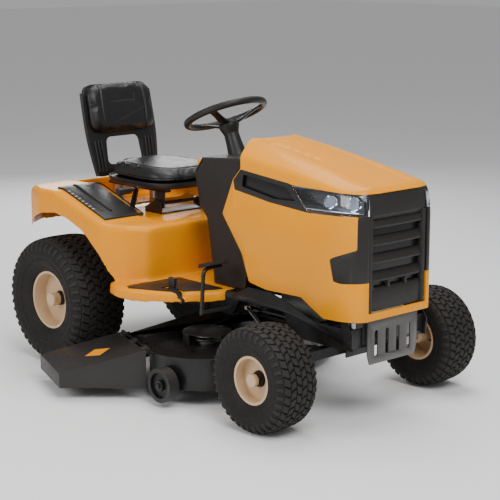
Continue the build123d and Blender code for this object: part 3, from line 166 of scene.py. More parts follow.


# The edge values below set each finish's painted edge highlight.
LOOKS = {
    "yellow_paint": finish_look(
        "yellow_paint", (0.88, 0.315, 0.0), (0.79, 0.275, 0.0), (0.24, 0.36), ("noise", 700.0, 0.012),
        coat=0.05, gloss=0.18
    ),
    "hood_plastic": finish_look(
        "hood_plastic", (0.90, 0.335, 0.0), (0.81, 0.29, 0.0), (0.22, 0.32), ("noise", 600.0, 0.010),
        coat=0.06, gloss=0.18
    ),
    "black_paint": finish_look(
        "black_paint", (0.0045, 0.0042, 0.0042), (0.009, 0.0085, 0.0085), (0.26, 0.40), ("noise", 500.0, 0.02),
        edge=0.012, gloss=0.4
    ),
    "dark_plastic": finish_look(
        "dark_plastic", (0.013, 0.0115, 0.011), (0.020, 0.018, 0.017), (0.40, 0.54), ("voronoi", 1300.0, 0.03),
        edge=0.014, gloss=0.32
    ),
    "black_plastic": finish_look(
        "black_plastic", (0.0075, 0.0068, 0.0066), (0.013, 0.012, 0.0115), (0.36, 0.50), ("voronoi", 1100.0, 0.03),
        edge=0.012, gloss=0.32
    ),
    "cream_paint": finish_look(
        "cream_paint", (0.66, 0.47, 0.29), (0.56, 0.38, 0.22), (0.34, 0.48), ("noise", 420.0, 0.02), coat=0.1,
        gloss=0.35
    ),
    "tyre": finish_look(
        "tyre", (0.0085, 0.0075, 0.0070), (0.019, 0.0165, 0.015), (0.62, 0.82), ("noise", 260.0, 0.12), patch=11.0,
        edge=0.012, gloss=0.25
    ),
    "vinyl": finish_look(
        "vinyl", (0.0050, 0.0046, 0.0046), (0.010, 0.0092, 0.009), (0.34, 0.48), ("voronoi", 330.0, 0.14),
        edge=0.008, gloss=0.4
    ),
    "steel": finish_look(
        "steel", (0.36, 0.35, 0.34), (0.50, 0.49, 0.47), (0.26, 0.42), ("noise", 380.0, 0.03), metallic=1.0
    ),
    "mirror_chrome": finish_look(
        "mirror_chrome", (0.72, 0.80, 0.90), (0.85, 0.90, 0.96), (0.05, 0.14), ("noise", 120.0, 0.01), metallic=1.0
    ),
    "engine_metal": finish_look(
        "engine_metal", (0.16, 0.16, 0.16), (0.26, 0.26, 0.25), (0.42, 0.62), ("noise", 300.0, 0.15), metallic=0.9
    ),
    "gunmetal": finish_look(
        "gunmetal", (0.060, 0.057, 0.056), (0.10, 0.096, 0.093), (0.26, 0.38), ("noise", 800.0, 0.02),
        metallic=0.85, edge=0.10
    ),
    "belt_rubber": finish_look(
        "belt_rubber", (0.008, 0.008, 0.008), (0.014, 0.013, 0.012), (0.6, 0.75), ("noise", 500.0, 0.10), gloss=0.25
    ),
    "cast": finish_look(
        "cast", (0.012, 0.012, 0.0125), (0.022, 0.021, 0.021), (0.45, 0.6), ("noise", 260.0, 0.25), metallic=0.4
    ),
    "clear_lens": lens_look("clear_lens"),
}
TICKS = finish_look("tick_print", (0.72, 0.72, 0.70), (0.62, 0.62, 0.60), (0.4, 0.5), ("noise", 300.0, 0.01))
SLOT_OF = {row["node"]: row["material_slot"] for row in frame["record"]["subparts"]}
BODY_OF = {
    node: body for body, nodes in frame["record"]["behaviour"]["bodies"].items() for node in nodes
}


# ---------------------------------------------------------------- mesh tools


def link(name, data, body, slot, look=None):
    """Puts a mesh in the scene as a piece that rides on a body."""
    piece = bpy.data.objects.new(name, data)
    bpy.context.scene.collection.objects.link(piece)
    data.materials.clear()
    data.materials.append(look or LOOKS[slot])
    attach(piece, body)
    return piece


def settle(piece):
    """Applies a piece's modifiers to its mesh."""
    graph = bpy.context.evaluated_depsgraph_get()
    done = bpy.data.meshes.new_from_object(piece.evaluated_get(graph))
    piece.modifiers.clear()
    piece.data = done
    return piece


def smooth(piece, angle=35.0):
    """Smooth shading, with edges sharper than the angle kept crisp."""
    shape = bmesh.new()
    shape.from_mesh(piece.data)
    for face in shape.faces:
        face.smooth = True
    for edge in shape.edges:
        if len(edge.link_faces) == 2:
            edge.smooth = edge.calc_face_angle(0.0) < math.radians(angle)
    shape.to_mesh(piece.data)
    shape.free()
    return piece


def soften(piece, width, segments=2, angle=28.0):
    """Rounds a piece's edges by a width in mm."""
    bevel = piece.modifiers.new("rounding", "BEVEL")
    bevel.width = width / 1000
    bevel.segments = segments
    bevel.limit_method = "ANGLE"
    bevel.angle_limit = math.radians(angle)
    bevel.use_clamp_overlap = True
    settle(piece)
    return smooth(piece, 40.0)


def merged_copy(node):
    """A CAD node's mesh with its seams closed and its flat faces joined."""
    shape = bmesh.new()
    shape.from_mesh(frame["nodes"][node].data)
    bmesh.ops.remove_doubles(shape, verts=shape.verts, dist=2e-6)
    bmesh.ops.dissolve_limit(
        shape, angle_limit=math.radians(0.6), verts=shape.verts, edges=shape.edges
    )
    return shape


def rounded_node(node, width, wide=0.0):
    """A copy that stands for a CAD node: width in mm rounds its rims, and wide its folds between broad faces."""
    shape = merged_copy(node)
    if wide:
        weights = shape.edges.layers.float.new("bevel_weight_edge")

        def broad(face):
            return 2 * face.calc_area() / max(face.calc_perimeter(), 1e-6) > 0.014

        for edge in shape.edges:
            if len(edge.link_faces) != 2 or edge.calc_face_angle(0.0) < math.radians(3):
                continue
            both = all(broad(face) for face in edge.link_faces)
            if both:
                edge[weights] = 1.0
            elif edge.calc_face_angle(0.0) > math.radians(28):
                edge[weights] = width / wide
    name = node + "_finish"
    data = bpy.data.meshes.new(name)
    shape.to_mesh(data)
    shape.free()
    piece = link(name, data, BODY_OF[node], SLOT_OF[node])
    if wide:
        bevel = piece.modifiers.new("rounding", "BEVEL")
        bevel.width = wide / 1000
        bevel.segments = 4
        bevel.limit_method = "WEIGHT"
        bevel.use_clamp_overlap = False
        settle(piece)
        smooth(piece, 34.0)
    else:
        soften(piece, width)
    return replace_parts(piece, node)


def mesh_of(points, faces, name):
    """A mesh from points in the row frame."""
    data = bpy.data.meshes.new(name)
    data.from_pydata([tuple(p) for p in points], [], faces)
    data.validate()
    shape = bmesh.new()
    shape.from_mesh(data)
    bmesh.ops.recalc_face_normals(shape, faces=shape.faces)
    shape.to_mesh(data)
    shape.free()
    return data


def rings_mesh(rings, name, closed=False, caps=True):
    """A skin over rings of points, each ring closed, from first to last."""
    count = len(rings[0])
    points = [p for ring in rings for p in ring]
    faces = []
    spans = len(rings) if closed else len(rings) - 1
    for i in range(spans):
        a = i * count
        b = ((i + 1) % len(rings)) * count
        for k in range(count):
            n = (k + 1) % count
            faces.append((a + k, a + n, b + n, b + k))
    if caps and not closed:
        faces.append(tuple(range(count)))
        faces.append(tuple(reversed(range((len(rings) - 1) * count, len(rings) * count))))
    return mesh_of(points, faces, name)


def axes_for(axis):
    """Two directions square to an axis."""
    axis = Vector(axis).normalized()
    side = axis.cross(Vector((0, 0, 1)))
    if side.length < 0.01:
        side = Vector((1, 0, 0))
    side.normalize()
    return side, axis.cross(side).normalized()


def lathe(name, body, slot, centre, axis, profile, steps=64, closed=False):
    """A turned piece: the profile is (radius, distance along the axis) in mm."""
    side, up = axes_for(axis)
    axis = Vector(axis).normalized()
    rings = []
    for radius, along in profile:
        ring = []
        for k in range(steps):
            turn = 2 * math.pi * k / steps
            out = side * math.cos(turn) + up * math.sin(turn)
            ring.append(centre + out * radius / 1000 + axis * along / 1000)
        rings.append(ring)
    piece = link(name, rings_mesh(rings, name, closed), body, slot)
    return smooth(piece, 30.0)


def tube(name, body, slot, path, radius, steps=14):
    """A round bar in mm along a smooth line through points of the row frame."""
    curve = bpy.data.curves.new(name, "CURVE")
    curve.dimensions = "3D"
    curve.bevel_depth = radius / 1000
    curve.bevel_resolution = steps // 4
    curve.use_fill_caps = True
    spline = curve.splines.new("NURBS")
    spline.points.add(len(path) - 1)
    for point, where in zip(spline.points, path):
        point.co = (*where, 1)
    spline.order_u = 3
    spline.use_endpoint_u = True
    spline.resolution_u = 8
    holder = bpy.data.objects.new(name, curve)
    bpy.context.scene.collection.objects.link(holder)
    graph = bpy.context.evaluated_depsgraph_get()
    data = bpy.data.meshes.new_from_object(holder.evaluated_get(graph))
    bpy.data.objects.remove(holder)
    piece = link(name, data, body, slot)
    return smooth(piece, 50.0)


def slab(name, body, slot, outline, thickness, along, width=1.0):
    """A plate with rounded edges: an outline in the row frame, thickened in mm along a direction."""
    step = Vector(along).normalized() * thickness / 1000
    rings = [list(outline), [p + step for p in outline]]
    piece = link(name, rings_mesh(rings, name), body, slot)
    return soften(piece, width)


# ---------------------------------------------------------------- the CAD model's own shapes

for node, thing in frame["nodes"].items():
    thing.data.materials.clear()
    thing.data.materials.append(LOOKS[SLOT_OF[node]])

ROUNDED = {
    "fender_trim": (1.2, 0.0),
    "dash_panel": (1.5, 0.0),
    "front_bumper": (0.9, 0.0),
    "seat_bracket": (1.0, 0.0),
    "deck_shell": (1.2, 7.0),
    "belt_covers": (1.8, 0.0),
    "discharge_chute": (1.2, 0.0),
    "frame_rails": (0.8, 0.0),
    "frame_crossmembers": (0.8, 0.0),
    "pto_knob": (1.6, 0.0),
    "throttle_lever": (1.2, 0.0),
    "ignition_key": (0.5, 0.0),
    "fuel_cap": (1.2, 0.0),
    "engine_shroud": (2.0, 0.0),
    "battery": (1.5, 0.0),
    "fuel_tank": (2.0, 0.0),
}
for node, (width, wide) in ROUNDED.items():
    rounded_node(node, width, wide)


def relaxed_node(node, reach, repeats):
    """A copy of a CAD node that stands for it, cut finely and eased so that its folds turn in soft curves."""
    shape = merged_copy(node)
    bmesh.ops.triangulate(shape, faces=shape.faces)
    for _ in range(7):
        long = [edge for edge in shape.edges if edge.calc_length() > reach / 1000]
        if not long:
            break
        bmesh.ops.subdivide_edges(shape, edges=long, cuts=1)
        bmesh.ops.triangulate(shape, faces=[face for face in shape.faces if len(face.verts) > 3])
    bmesh.ops.beautify_fill(shape, faces=shape.faces, edges=shape.edges)
    for _ in range(repeats):
        bmesh.ops.smooth_vert(
            shape, verts=shape.verts, factor=0.5, use_axis_x=True, use_axis_y=True, use_axis_z=True
        )
    data = bpy.data.meshes.new(node + "_finish")
    shape.to_mesh(data)
    shape.free()
    piece = smooth(link(node + "_finish", data, BODY_OF[node], SLOT_OF[node]), 60.0)
    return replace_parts(piece, node)


relaxed_node("fender_body", 13.0, 16)
relaxed_node("dash_pedestal", 11.0, 5)


# ---------------------------------------------------------------- hood

NOSE_X = 1445.0
HOOD_REAR_X = 740.0
GRILLE_HALF = 148.0


def ramp(value, low, high):
    """A smooth step from 0 at low to 1 at high."""
    share = min(1.0, max(0.0, (value - low) / (high - low)))
    return share * share * (3 - 2 * share)


def rounded(corners, radii, steps=6, closed=False):
    """A flat line through corners with each one rounded by its radius."""
    line = []
    count = len(corners)
    for k, here in enumerate(corners):
        if not closed and k in (0, count - 1):
            line.append(here)
            continue
        here = Vector(here)
        back = Vector(corners[k - 1]) - here
        ahead = Vector(corners[(k + 1) % count]) - here
        radius = radii if isinstance(radii, (int, float)) else radii[k]
        start = here + back.normalized() * min(radius, back.length * 0.46)
        end = here + ahead.normalized() * min(radius, ahead.length * 0.46)
        for step in range(steps + 1):
            t = step / steps
            line.append(tuple(start * (1 - t) ** 2 + here * 2 * t * (1 - t) + end * t * t))
    return line


def divided(line, breaks):
    """A line with each of its long flats cut into a set number of parts."""
    out = []
    for k in range(len(line) - 1):
        parts = breaks.get(k, 1)
        a, b = Vector(line[k]), Vector(line[k + 1])
        out.extend(tuple(a.lerp(b, i / parts)) for i in range(parts))
    out.append(line[-1])
    return out


def hood_half(x):
    """The hood's half width at a distance from the rear axle, drawn in towards the grille at the nose."""
    flank = 226 - 8 * (x - HOOD_REAR_X) / 410 if x < 1150 else 218 - 9 * (x - 1150) / 295
    bend = min(1.0, max(0.0, (x - 1322) / (NOSE_X - 1322)))
    return min(flank, 157 + 56 * (1 - bend ** 2.3) ** 0.62)


def relief(x, y):
    """How far the hood's top is pressed in or out: a shallow centre panel with cross ribs toward the rear."""
    inside = 1 - ramp(abs(y), 92, 106)
    along = ramp(x, 872, 892) * (1 - ramp(x, 1390, 1430))
    height = -3.4 * inside * along
    for rib in range(5):
        start = 905 + 47 * rib
        width = 74 - 3 * rib
        step = ramp(x, start, start + 4) * (1 - ramp(x, start + 20, start + 40))
        height += 3.6 * step * (1 - ramp(abs(y), width, width + 10))
    return height


def hood_ring(x, inset):
    """One cross-section of the hood as points across, from the right foot over the top to the left foot."""
    share = (x - HOOD_REAR_X) / (NOSE_X - HOOD_REAR_X)
    bulge = 8 * math.sin(math.pi * min(1, max(0, share)))
    lip = 14 * ramp(x, NOSE_X - 24, NOSE_X + 6)
    crown = 972 - 137 * share + bulge - lip
    corner = crown - 14 + 12 * share
    crease = crown - 60 + 30 * share
    half = hood_half(x)
    corner_y = min(112 + 40 * share, half - 42)
    low = 330 if not inset else 322
    side = half - inset
    right = [
        (-side, low), (-side, crease - 60), (-side + 14, crease - inset), (-corner_y + inset, corner - inset),
        (0, crown - inset),
    ]
    corners = right + [(-y, z) for y, z in reversed(right[:-1])]
    line = rounded(corners, [0, 30, 15, 34, 60, 34, 15, 30, 0])
    flats = {k: 10 for k in (21, 28)}
    flats.update({0: 3, 7: 2, 14: 2, 35: 2, 42: 2, 49: 3})
    line = divided(line, flats)
    if inset:
        return [mm(x, y, z) for y, z in line]
    return [mm(x, y, z + (relief(x, y) if z > crease + 8 else 0)) for y, z in line]


def block(name, data):
    """A mesh that only serves to cut another."""
    tool = bpy.data.objects.new(name, data)
    bpy.context.scene.collection.objects.link(tool)
    return tool


def carve(piece, tool, how="DIFFERENCE"):
    """Cuts one mesh with another, which is then removed."""
    cut = piece.modifiers.new("cut", "BOOLEAN")
    cut.operation = how
    cut.solver = "MANIFOLD"
    cut.object = tool
    settle(piece)
    bpy.data.objects.remove(tool)
    return piece


def side_prism(outline, low_y, high_y, radius=0.0):
    """A tool with a side-view outline in x and z that spans from one y to another."""
    line = rounded(outline, radius, 5, closed=True) if radius else outline
    return block("side_tool", rings_mesh([[mm(x, y, z) for x, z in line] for y in (low_y, high_y)], "side_tool"))


def plan_prism(outline, low_z, high_z, radius=0.0):
    """A tool with a plan outline in x and y that spans from one height to another."""
    line = rounded(outline, radius, 5, closed=True) if radius else outline
    return block("plan_tool", rings_mesh([[mm(x, y, z) for x, y in line] for z in (low_z, high_z)], "plan_tool"))


def box_prism(low, high):
    """A tool in the shape of a box between two corners in mm."""
    outline = [(low[0], low[2]), (high[0], low[2]), (high[0], high[2]), (low[0], high[2])]
    return side_prism(outline, low[1], high[1])


def hood_skin(name, body, slot, inset=0.0):
    """The hood's smooth skin, 4 mm thick, before its windows are cut."""
    step = 5.0
    count = int((NOSE_X - HOOD_REAR_X) / step)
    outer = [hood_ring(HOOD_REAR_X + k * step, inset) for k in range(count + 1)]
    inner = [hood_ring(HOOD_REAR_X - 10 + k * step * 3, inset + 4.0) for k in range(count // 3 + 2)]
    inner = [ring for ring in inner if ring[0].x < mm(NOSE_X - 4, 0, 0).x]
    piece = link(name, rings_mesh(outer, name), body, slot)
    return carve(piece, block("inside", rings_mesh(inner, "inside")))


HOOD_SIDE = [
    (806, 1010), (812, 946), (848, 904), (862, 851), (824, 807), (766, 675), (872, 540), (910, 440),
    (1000, 426), (1180, 430), (1229, 403), (1291, 373), (1460, 378), (1460, 1010),
]
VENT_BAND = [(1014, 748), (832, 772), (825, 805), (862, 849), (1111, 826), (1124, 822), (1206, 737)]
LAMP_BAND = [(1124, 822), (1420, 818), (1465, 818), (1465, 744), (1424, 744), (1210, 735)]
NOTCH_BAND = [
    (1424, 742), (1465, 742), (1465, 516), (1368, 508), (1336, 512), (1318, 585), (1330, 594), (1423, 630),
]
WINDOW = [
    (1014, 748), (832, 772), (825, 805), (862, 849), (1111, 826), (1124, 822), (1420, 818), (1465, 818),
    (1465, 516), (1368, 508), (1336, 512), (1318, 585), (1330, 594), (1423, 630), (1424, 744), (1210, 735),
]
SLOT_BAND = [(872, 788), (878, 832), (1098, 812), (1150, 768), (1040, 763)]


def hood_cover():
    """The yellow hood, with its windows, its open foot and the notch for the column."""
    piece = hood_skin("hood_cover", BODY_OF["hood_shell"], "hood_plastic")
    carve(piece, side_prism(HOOD_SIDE, -400, 400, 7), "INTERSECT")
    for low_y, high_y in ((-300, -GRILLE_HALF), (GRILLE_HALF, 300)):
        carve(piece, side_prism(WINDOW, low_y, high_y, 5))
    carve(piece, box_prism((NOSE_X - 65, -GRILLE_HALF, 404), (NOSE_X + 20, GRILLE_HALF, 819)))
    notch = [(700, -104), (812, -104), (848, -64), (862, 0), (848, 64), (812, 104), (700, 104)]
    carve(piece, plan_prism(notch, 700, 1100, 20))
    soften(piece, 1.1, 2, 50.0)
    smooth(piece, 24.0)
    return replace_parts(piece, "hood_shell")


def hood_inlay(name, node, slot, outline, side, inset=0.4, gap=1.0):
    """A panel that fills one of the hood's windows, a hair below the skin round it."""
    piece = hood_skin(name, BODY_OF[node], slot, inset)
    centre = Vector([sum(c) / len(outline) for c in zip(*outline)])
    span = sorted((side * (GRILLE_HALF + gap), side * 300))
    shrunk = [tuple(Vector(p) + (centre - Vector(p)).normalized() * gap) for p in outline]
    carve(piece, side_prism(shrunk, *span, 4), "INTERSECT")
    return piece


def hood_trim():
    """The black panels, a black sheet of painted shade behind the vent slots, the lamp glasses and the grille in the
    hood's windows.
    """
    for side, hand in HANDS:
        band = hood_inlay("vent_panel_" + hand, "hood_grille", "dark_plastic", VENT_BAND, side)
        span = sorted((side * 160, side * 300))
        carve(band, side_prism(SLOT_BAND, *span, 6))
        soften(band, 0.9, 2, 50.0)
        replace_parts(band, "hood_grille")
        # Painted shade: a sheet of the darkest black, 12 mm behind the vent panel, fills the slot and stands in for the
        # shade inside the hood.
        back = hood_inlay("vent_shade_sheet_" + hand, "hood_grille", "black_paint", VENT_BAND, side, 12.0, 6.0)
        smooth(back)
        notch = hood_inlay("notch_panel_" + hand, "hood_grille", "dark_plastic", NOTCH_BAND, side)
        soften(notch, 1.2, 2, 50.0)
        lens = hood_inlay("lamp_glass_" + hand, "headlight_lenses", "clear_lens", LAMP_BAND, side)
        soften(lens, 0.9, 2, 50.0)
        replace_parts(lens, "headlight_lenses")
        headlight(side, hand)


def headlight(side, hand):
    """Bright bowls with their bezels, a bright shelf, a dark brow and a wall behind the lamp glass."""
    body = BODY_OF["headlight_reflectors"]
    axis = Vector((0.86, side * 0.50, 0.0))
    for k, (x, y, radius) in enumerate(((1378, 158, 25), (1290, 178, 22))):
        centre = mm(x, side * y, 780)
        profile = [
            (radius + 2, 0), (radius + 2, 5), (radius, 6), (radius - 2, 4), (radius - 4, -6), (radius - 10, -18),
            (5, -26), (3, -15), (0.2, -13),
        ]
        bowl = lathe(f"lamp_bowl_{hand}_{k}", body, "mirror_chrome", centre, axis, profile, 48)
        if k == 0:
            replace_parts(bowl, "headlight_reflectors")
    path = [(1130, 202), (1230, 199), (1330, 190), (1396, 170), (1428, 148)]
    for name, z, tall, slot in (("shelf", 747, 4, "mirror_chrome"), ("brow", 812, 4, "dark_plastic")):
        line = [mm(x, side * y, z) for x, y in path] + [mm(x, side * (y - 36), z) for x, y in reversed(path)]
        slab(f"lamp_{name}_{hand}", body, slot, line, tall, (0, 0, 1), 1.0)
    wall = [mm(x, side * (y - 30), 748) for x, y in path]
    wall += [mm(x, side * (y - 33), 748) for x, y in reversed(path)]
    slab("lamp_wall_" + hand, body, "gunmetal", wall, 66, (0, 0, 1), 0.6)


def grille_panel():
    """The grille: corner columns, a badge-free head panel, three hooded slots, a ledge with small slots and a black
    sheet of painted shade behind them.
    """
    body = BODY_OF["hood_grille"]

    def plate(name, section, half, slot="dark_plastic", bow=10.0):
        """A bar across the nose with a section in x and z, bowed back toward its ends."""
        rings = []
        for k in range(17):
            y = -half + 2 * half * k / 16
            back = bow * (y / GRILLE_HALF) ** 4
            rings.append([mm(x - back, y, z) for x, z in section])
        return soften(link(name, rings_mesh(rings, name), body, slot), 1.0, 2, 24.0)

    front = NOSE_X - 1
    head = [
        (front, 744), (front - 3, 817), (front - 12, 819), (front - 20, 815), (front - 18, 730), (front - 10, 726),
    ]
    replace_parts(plate("grille_head", head, 147, bow=6.0), "hood_grille")
    for row in range(3):
        z = 690 - 62 * row
        hood = [
            (front - 17, z + 42), (front - 2, z + 28), (front + 1, z + 16), (front - 1, z + 9), (front - 8, z + 7),
            (front - 11, z + 16), (front - 20, z + 30),
        ]
        plate(f"grille_hood_{row}", hood, 128)
    ledge = [(front - 18, 545), (front - 4, 532), (front, 520), (front - 1, 512), (front - 18, 506)]
    plate("grille_ledge", ledge, 128)
    lower = [(front - 16, 492), (front - 6, 486), (front - 2, 470), (front - 4, 410), (front - 14, 405)]
    plate("grille_fascia", lower, 146)
    for k, y in enumerate((-128, -44, 44, 128)):
        corners = ((-16, -6), (-2, -5), (-2, 5), (-16, 6))
        rib = [mm(front + ahead, y + across, 486) for ahead, across in corners]
        slab(f"grille_rib_{k}", body, "dark_plastic", rib, 28, (0, 0, 1), 1.0)
    # Painted shade: a sheet of the darkest black behind the grille's slots stands in for the shade inside the nose.
    back = [(front - 24, 408), (front - 21, 408), (front - 21, 815), (front - 24, 815)]
    plate("grille_shade_sheet", back, 146, "black_paint")
    for side, hand in HANDS:
        column = [
            mm(front - 26, side * 147, 406), mm(front - 8, side * 147, 406), mm(front - 1, side * 141, 406),
            mm(front, side * 131, 406), mm(front - 10, side * 125, 406), mm(front - 26, side * 124, 406),
        ]
        slab("grille_column_" + hand, body, "dark_plastic", column, 336, (0, 0, 1), 2.0)


hood_cover()
hood_trim()
grille_panel()


# ---------------------------------------------------------------- tyres and wheels


def tyre(corner, side, pitch_count):
    """A turf tyre: a moulded carcass, rows of skewed tread blocks and shoulder lugs."""
    node = f"{corner}_tyre_{side}"
    low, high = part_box(node)
    centre = (low + high) / 2
    radius = (high.z - low.z) * 500
    half = (high.y - low.y) * 500
    lip = radius * 0.46
    tread = 8.0

    def skin(across, height):
        """A point of the section: across the width from -1 to 1, and height from the bead to the crown."""
        return across * half, lip + (radius - tread - lip) * height

    section = [
        (0.0, 1.0), (0.30, 0.996), (0.56, 0.982), (0.74, 0.955), (0.86, 0.912), (0.94, 0.84), (0.985, 0.75),
        (1.0, 0.66), (0.995, 0.60), (1.006, 0.585), (1.006, 0.565), (0.988, 0.55), (0.965, 0.45), (0.955, 0.41),
        (0.965, 0.395), (0.962, 0.375), (0.94, 0.36), (0.90, 0.25), (0.85, 0.14), (0.81, 0.07), (0.76, 0.02),
        (0.70, 0.0),
    ]
    section = [(min(a, 1.0), h) for a, h in section]
    profile = [(skin(-a, h)[1], skin(-a, h)[0]) for a, h in reversed(section)]
    profile += [(skin(a, h)[1], skin(a, h)[0]) for a, h in section[1:]]
    inner = [(lip + 6, 0.62 * half), (lip + 6, -0.62 * half)]
    steps = 120
    points, faces = [], []
    whole = profile + inner
    for k in range(steps):
        turn = 2 * math.pi * k / steps
        for r, y in whole:
            points.append(centre + Vector((r * math.cos(turn), y, r * math.sin(turn))) / 1000)
    count = len(whole)
    for k in range(steps):
        n = (k + 1) % steps
        for i in range(count):
            j = (i + 1) % count
            faces.append((k * count + i, k * count + j, n * count + j, n * count + i))

    def crown(across):
        """The section's height at a place across the tread."""
        a = abs(across)
        for (a0, h0), (a1, h1) in zip(section, section[1:]):
            if a0 <= a <= a1:
                return h0 + (h1 - h0) * (a - a0) / max(a1 - a0, 1e-6)
        return section[-1][1]

    def block(corners, rise, inset):
        """A tread block on the carcass: corners are (across, turn), risen in mm and drawn in at the top."""
        start = len(points)
        middle = [sum(c[i] for c in corners) / len(corners) for i in (0, 1)]
        for lift, shrink in ((-2.0, 0.0), (rise - 1.6, 0.35), (rise, 1.0)):
            for across, turn in corners:
                pull = 1 - shrink * inset
                a = middle[0] + (across - middle[0]) * pull
                t = middle[1] + (turn - middle[1]) * pull
                y, r = skin(a, crown(a))
                r += lift
                points.append(centre + Vector((r * math.cos(t), y, r * math.sin(t))) / 1000)
        n = len(corners)
        for level in (0, 1):
            for i in range(n):
                j = (i + 1) % n
                base = start + level * n
                faces.append((base + i, base + j, base + n + j, base + n + i))
        faces.append(tuple(start + 2 * n + i for i in range(n)))

    rows = [-0.70, -0.42, -0.14, 0.14, 0.42, 0.70]
    reach = 0.122
    pitch = 2 * math.pi / pitch_count
    for index, row in enumerate(rows):
        offset = pitch * 0.5 * (index % 2)
        lean = 0.17 * pitch * (1 if index % 2 else -1)
        for k in range(pitch_count):
            t = k * pitch + offset
            gap = 0.39 * pitch
            corners = [
                (row - reach, t - gap - lean), (row - reach * 0.2, t - gap + lean * 0.4),
                (row + reach, t - gap + lean), (row + reach, t + gap + lean),
                (row + reach * 0.2, t + gap + lean * 0.4), (row - reach, t + gap - lean),
            ]
            block(corners, tread - 0.4, 0.12)

    for hand in (-1, 1):
        for k in range(pitch_count):
            t = (k + 0.25) * pitch
            gap = 0.27 * pitch
            stations = [(0.865, 0.908), (0.93, 0.856), (0.975, 0.775), (0.992, 0.70)]
            start = len(points)
            for position, (a, h) in enumerate(stations):
                y, r = skin(a * hand, h)
                out = Vector((0.55 + 0.45 * (1 - position / 3), 0.0, 0.0))
                rise = 5.2 if position < 3 else 1.2
                for along, lift in ((-gap, -2.0), (-gap * 0.8, rise), (gap * 0.8, rise), (gap, -2.0)):
                    rr = r + lift * out.x
                    yy = y + hand * lift * (0.25 + 0.2 * position)
                    yy = max(-half, min(half, yy))
                    angle = t + along * (1 - 0.1 * position)
                    points.append(centre + Vector((rr * math.cos(angle), yy, rr * math.sin(angle))) / 1000)
            for s in range(len(stations) - 1):
                for i in range(3):
                    a0 = start + s * 4 + i
                    faces.append((a0, a0 + 1, a0 + 5, a0 + 4))
            faces.append(tuple(start + i for i in range(4)))
            faces.append(tuple(start + (len(stations) - 1) * 4 + i for i in range(4)))

    name = f"{corner}_turf_tyre_{side}"
    piece = link(name, mesh_of(points, faces, name), f"{corner}_wheel_{side}", "tyre")
    smooth(piece, 32.0)
    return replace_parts(piece, node)


for side in ("right", "left"):
    tyre("front", side, 36)
    tyre("rear", side, 44)


def wheel_details(corner, side):
    """A finned hub cap on a wheel's outer face."""
    hand = -1 if side == "right" else 1
    body = f"{corner}_wheel_{side}"
    low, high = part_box(f"{corner}_rim_{side}")
    centre = (low + high) / 2
    face = low.y if side == "right" else high.y
    lip = (high.z - low.z) * 500
    out = Vector((0, hand, 0))
    hub = Vector((centre.x, face, centre.z)) - out * lip * 0.42 / 1000
    profile = [
        (0.5, 26), (9, 25.5), (17, 23), (22, 18.5), (24.5, 12), (25.5, 5), (28, 2), (29.5, -2), (29.5, -10), (0.5, -10),
    ]
    lathe(f"{body}_hub_cap", body, "black_plastic", hub, out, profile, 48)
    for k in range(8):
        turn = 2 * math.pi * k / 8
        spread = Vector((math.cos(turn), 0, math.sin(turn)))
        side_way = out.cross(spread)
        outline = [
            hub + spread * 0.010 + out * 0.0245, hub + spread * 0.0215 + out * 0.0205,
            hub + spread * 0.0265 + out * 0.006, hub + spread * 0.0265, hub + spread * 0.010,
        ]
        outline = [p - side_way * 0.0011 for p in outline]
        slab(f"{body}_hub_fin_{k}", body, "black_plastic", outline, 2.2, side_way, 0.4)


for side in ("right", "left"):
    wheel_details("front", side)
    wheel_details("rear", side)


# ---------------------------------------------------------------- steering wheel

UP = Vector(JOINTS["steering_turn"]["axis"])
WHEEL = joint_point("steering_turn")


def wheel_frame(radius, turn, lift):
    """A point of the steering wheel: radius, angle from the front and height above the rim's plane, in mm."""
    ahead = (Vector((1, 0, 0)) - UP * UP.x).normalized()
    left = UP.cross(ahead)
    way = ahead * math.cos(turn) + left * math.sin(turn)
    return WHEEL + (way * radius + UP * lift) / 1000


def steering_wheel():
    """A thick rim with finger swells, three dished spokes and a domed hub."""
    radius, grip = 153.0, 13.2
    rings = []
    steps = 144
    for k in range(steps):
        turn = 2 * math.pi * k / steps
        swell = 1.0 + 0.045 * math.cos(turn * 24)
        ring = []
        for i in range(16):
            a = 2 * math.pi * i / 16
            inner = -math.cos(a)
            depth = swell if inner > 0 else 1.0
            ring.append(wheel_frame(radius + math.cos(a) * grip * depth, turn, math.sin(a) * grip * 1.04))
        rings.append(ring)
    skin = rings_mesh(rings, "steering_wheel_rim", closed=True)
    rim = link("steering_wheel_rim", skin, "steering", "black_plastic")
    smooth(rim, 40.0)
    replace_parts(rim, "steering_wheel")
    for index, turn in enumerate((math.pi, math.radians(62), math.radians(-62))):
        rings = []
        stations = [
            (26, -42, 25, 10), (42, -40, 22, 9), (66, -31, 17, 8), (92, -19, 15, 7), (118, -9, 15.5, 7),
            (138, -3, 19, 8), (149, -1, 24, 8),
        ]
        for r, z, half, thick in stations:
            middle = wheel_frame(r, turn, z)
            across = wheel_frame(r, turn + 0.01, z) - middle
            across.normalize()
            section = [
                (-1, 0.1), (-0.86, 0.75), (-0.62, 1.0), (-0.50, 0.62), (0.50, 0.62), (0.62, 1.0), (0.86, 0.75),
                (1, 0.1), (0.8, -0.6), (0.4, -0.85), (-0.4, -0.85), (-0.8, -0.6),
            ]
            rings.append([middle + (across * half * a + UP * thick * b * 0.8) / 1000 for a, b in section])
        name = f"steering_wheel_spoke_{index}"
        spoke = link(name, rings_mesh(rings, name), "steering", "black_plastic")
        soften(spoke, 1.2)
    hub = WHEEL - UP * 0.046
    profile = [
        (0.4, 15), (18, 14.2), (30, 11.5), (37, 7), (40, 0), (39, -10), (33, -24), (27, -44), (25, -62), (0.4, -62),
    ]
    lathe("steering_wheel_hub", "steering", "black_plastic", hub, UP, profile, 64)
    ring = [(34, 9.2), (35.5, 11.4), (37.4, 9.4), (36.6, 6.0), (34, 7.0)]
    lathe("steering_wheel_hub_ring", "steering", "black_plastic", hub, UP, ring, 64, closed=True)


steering_wheel()


# ---------------------------------------------------------------- cushions


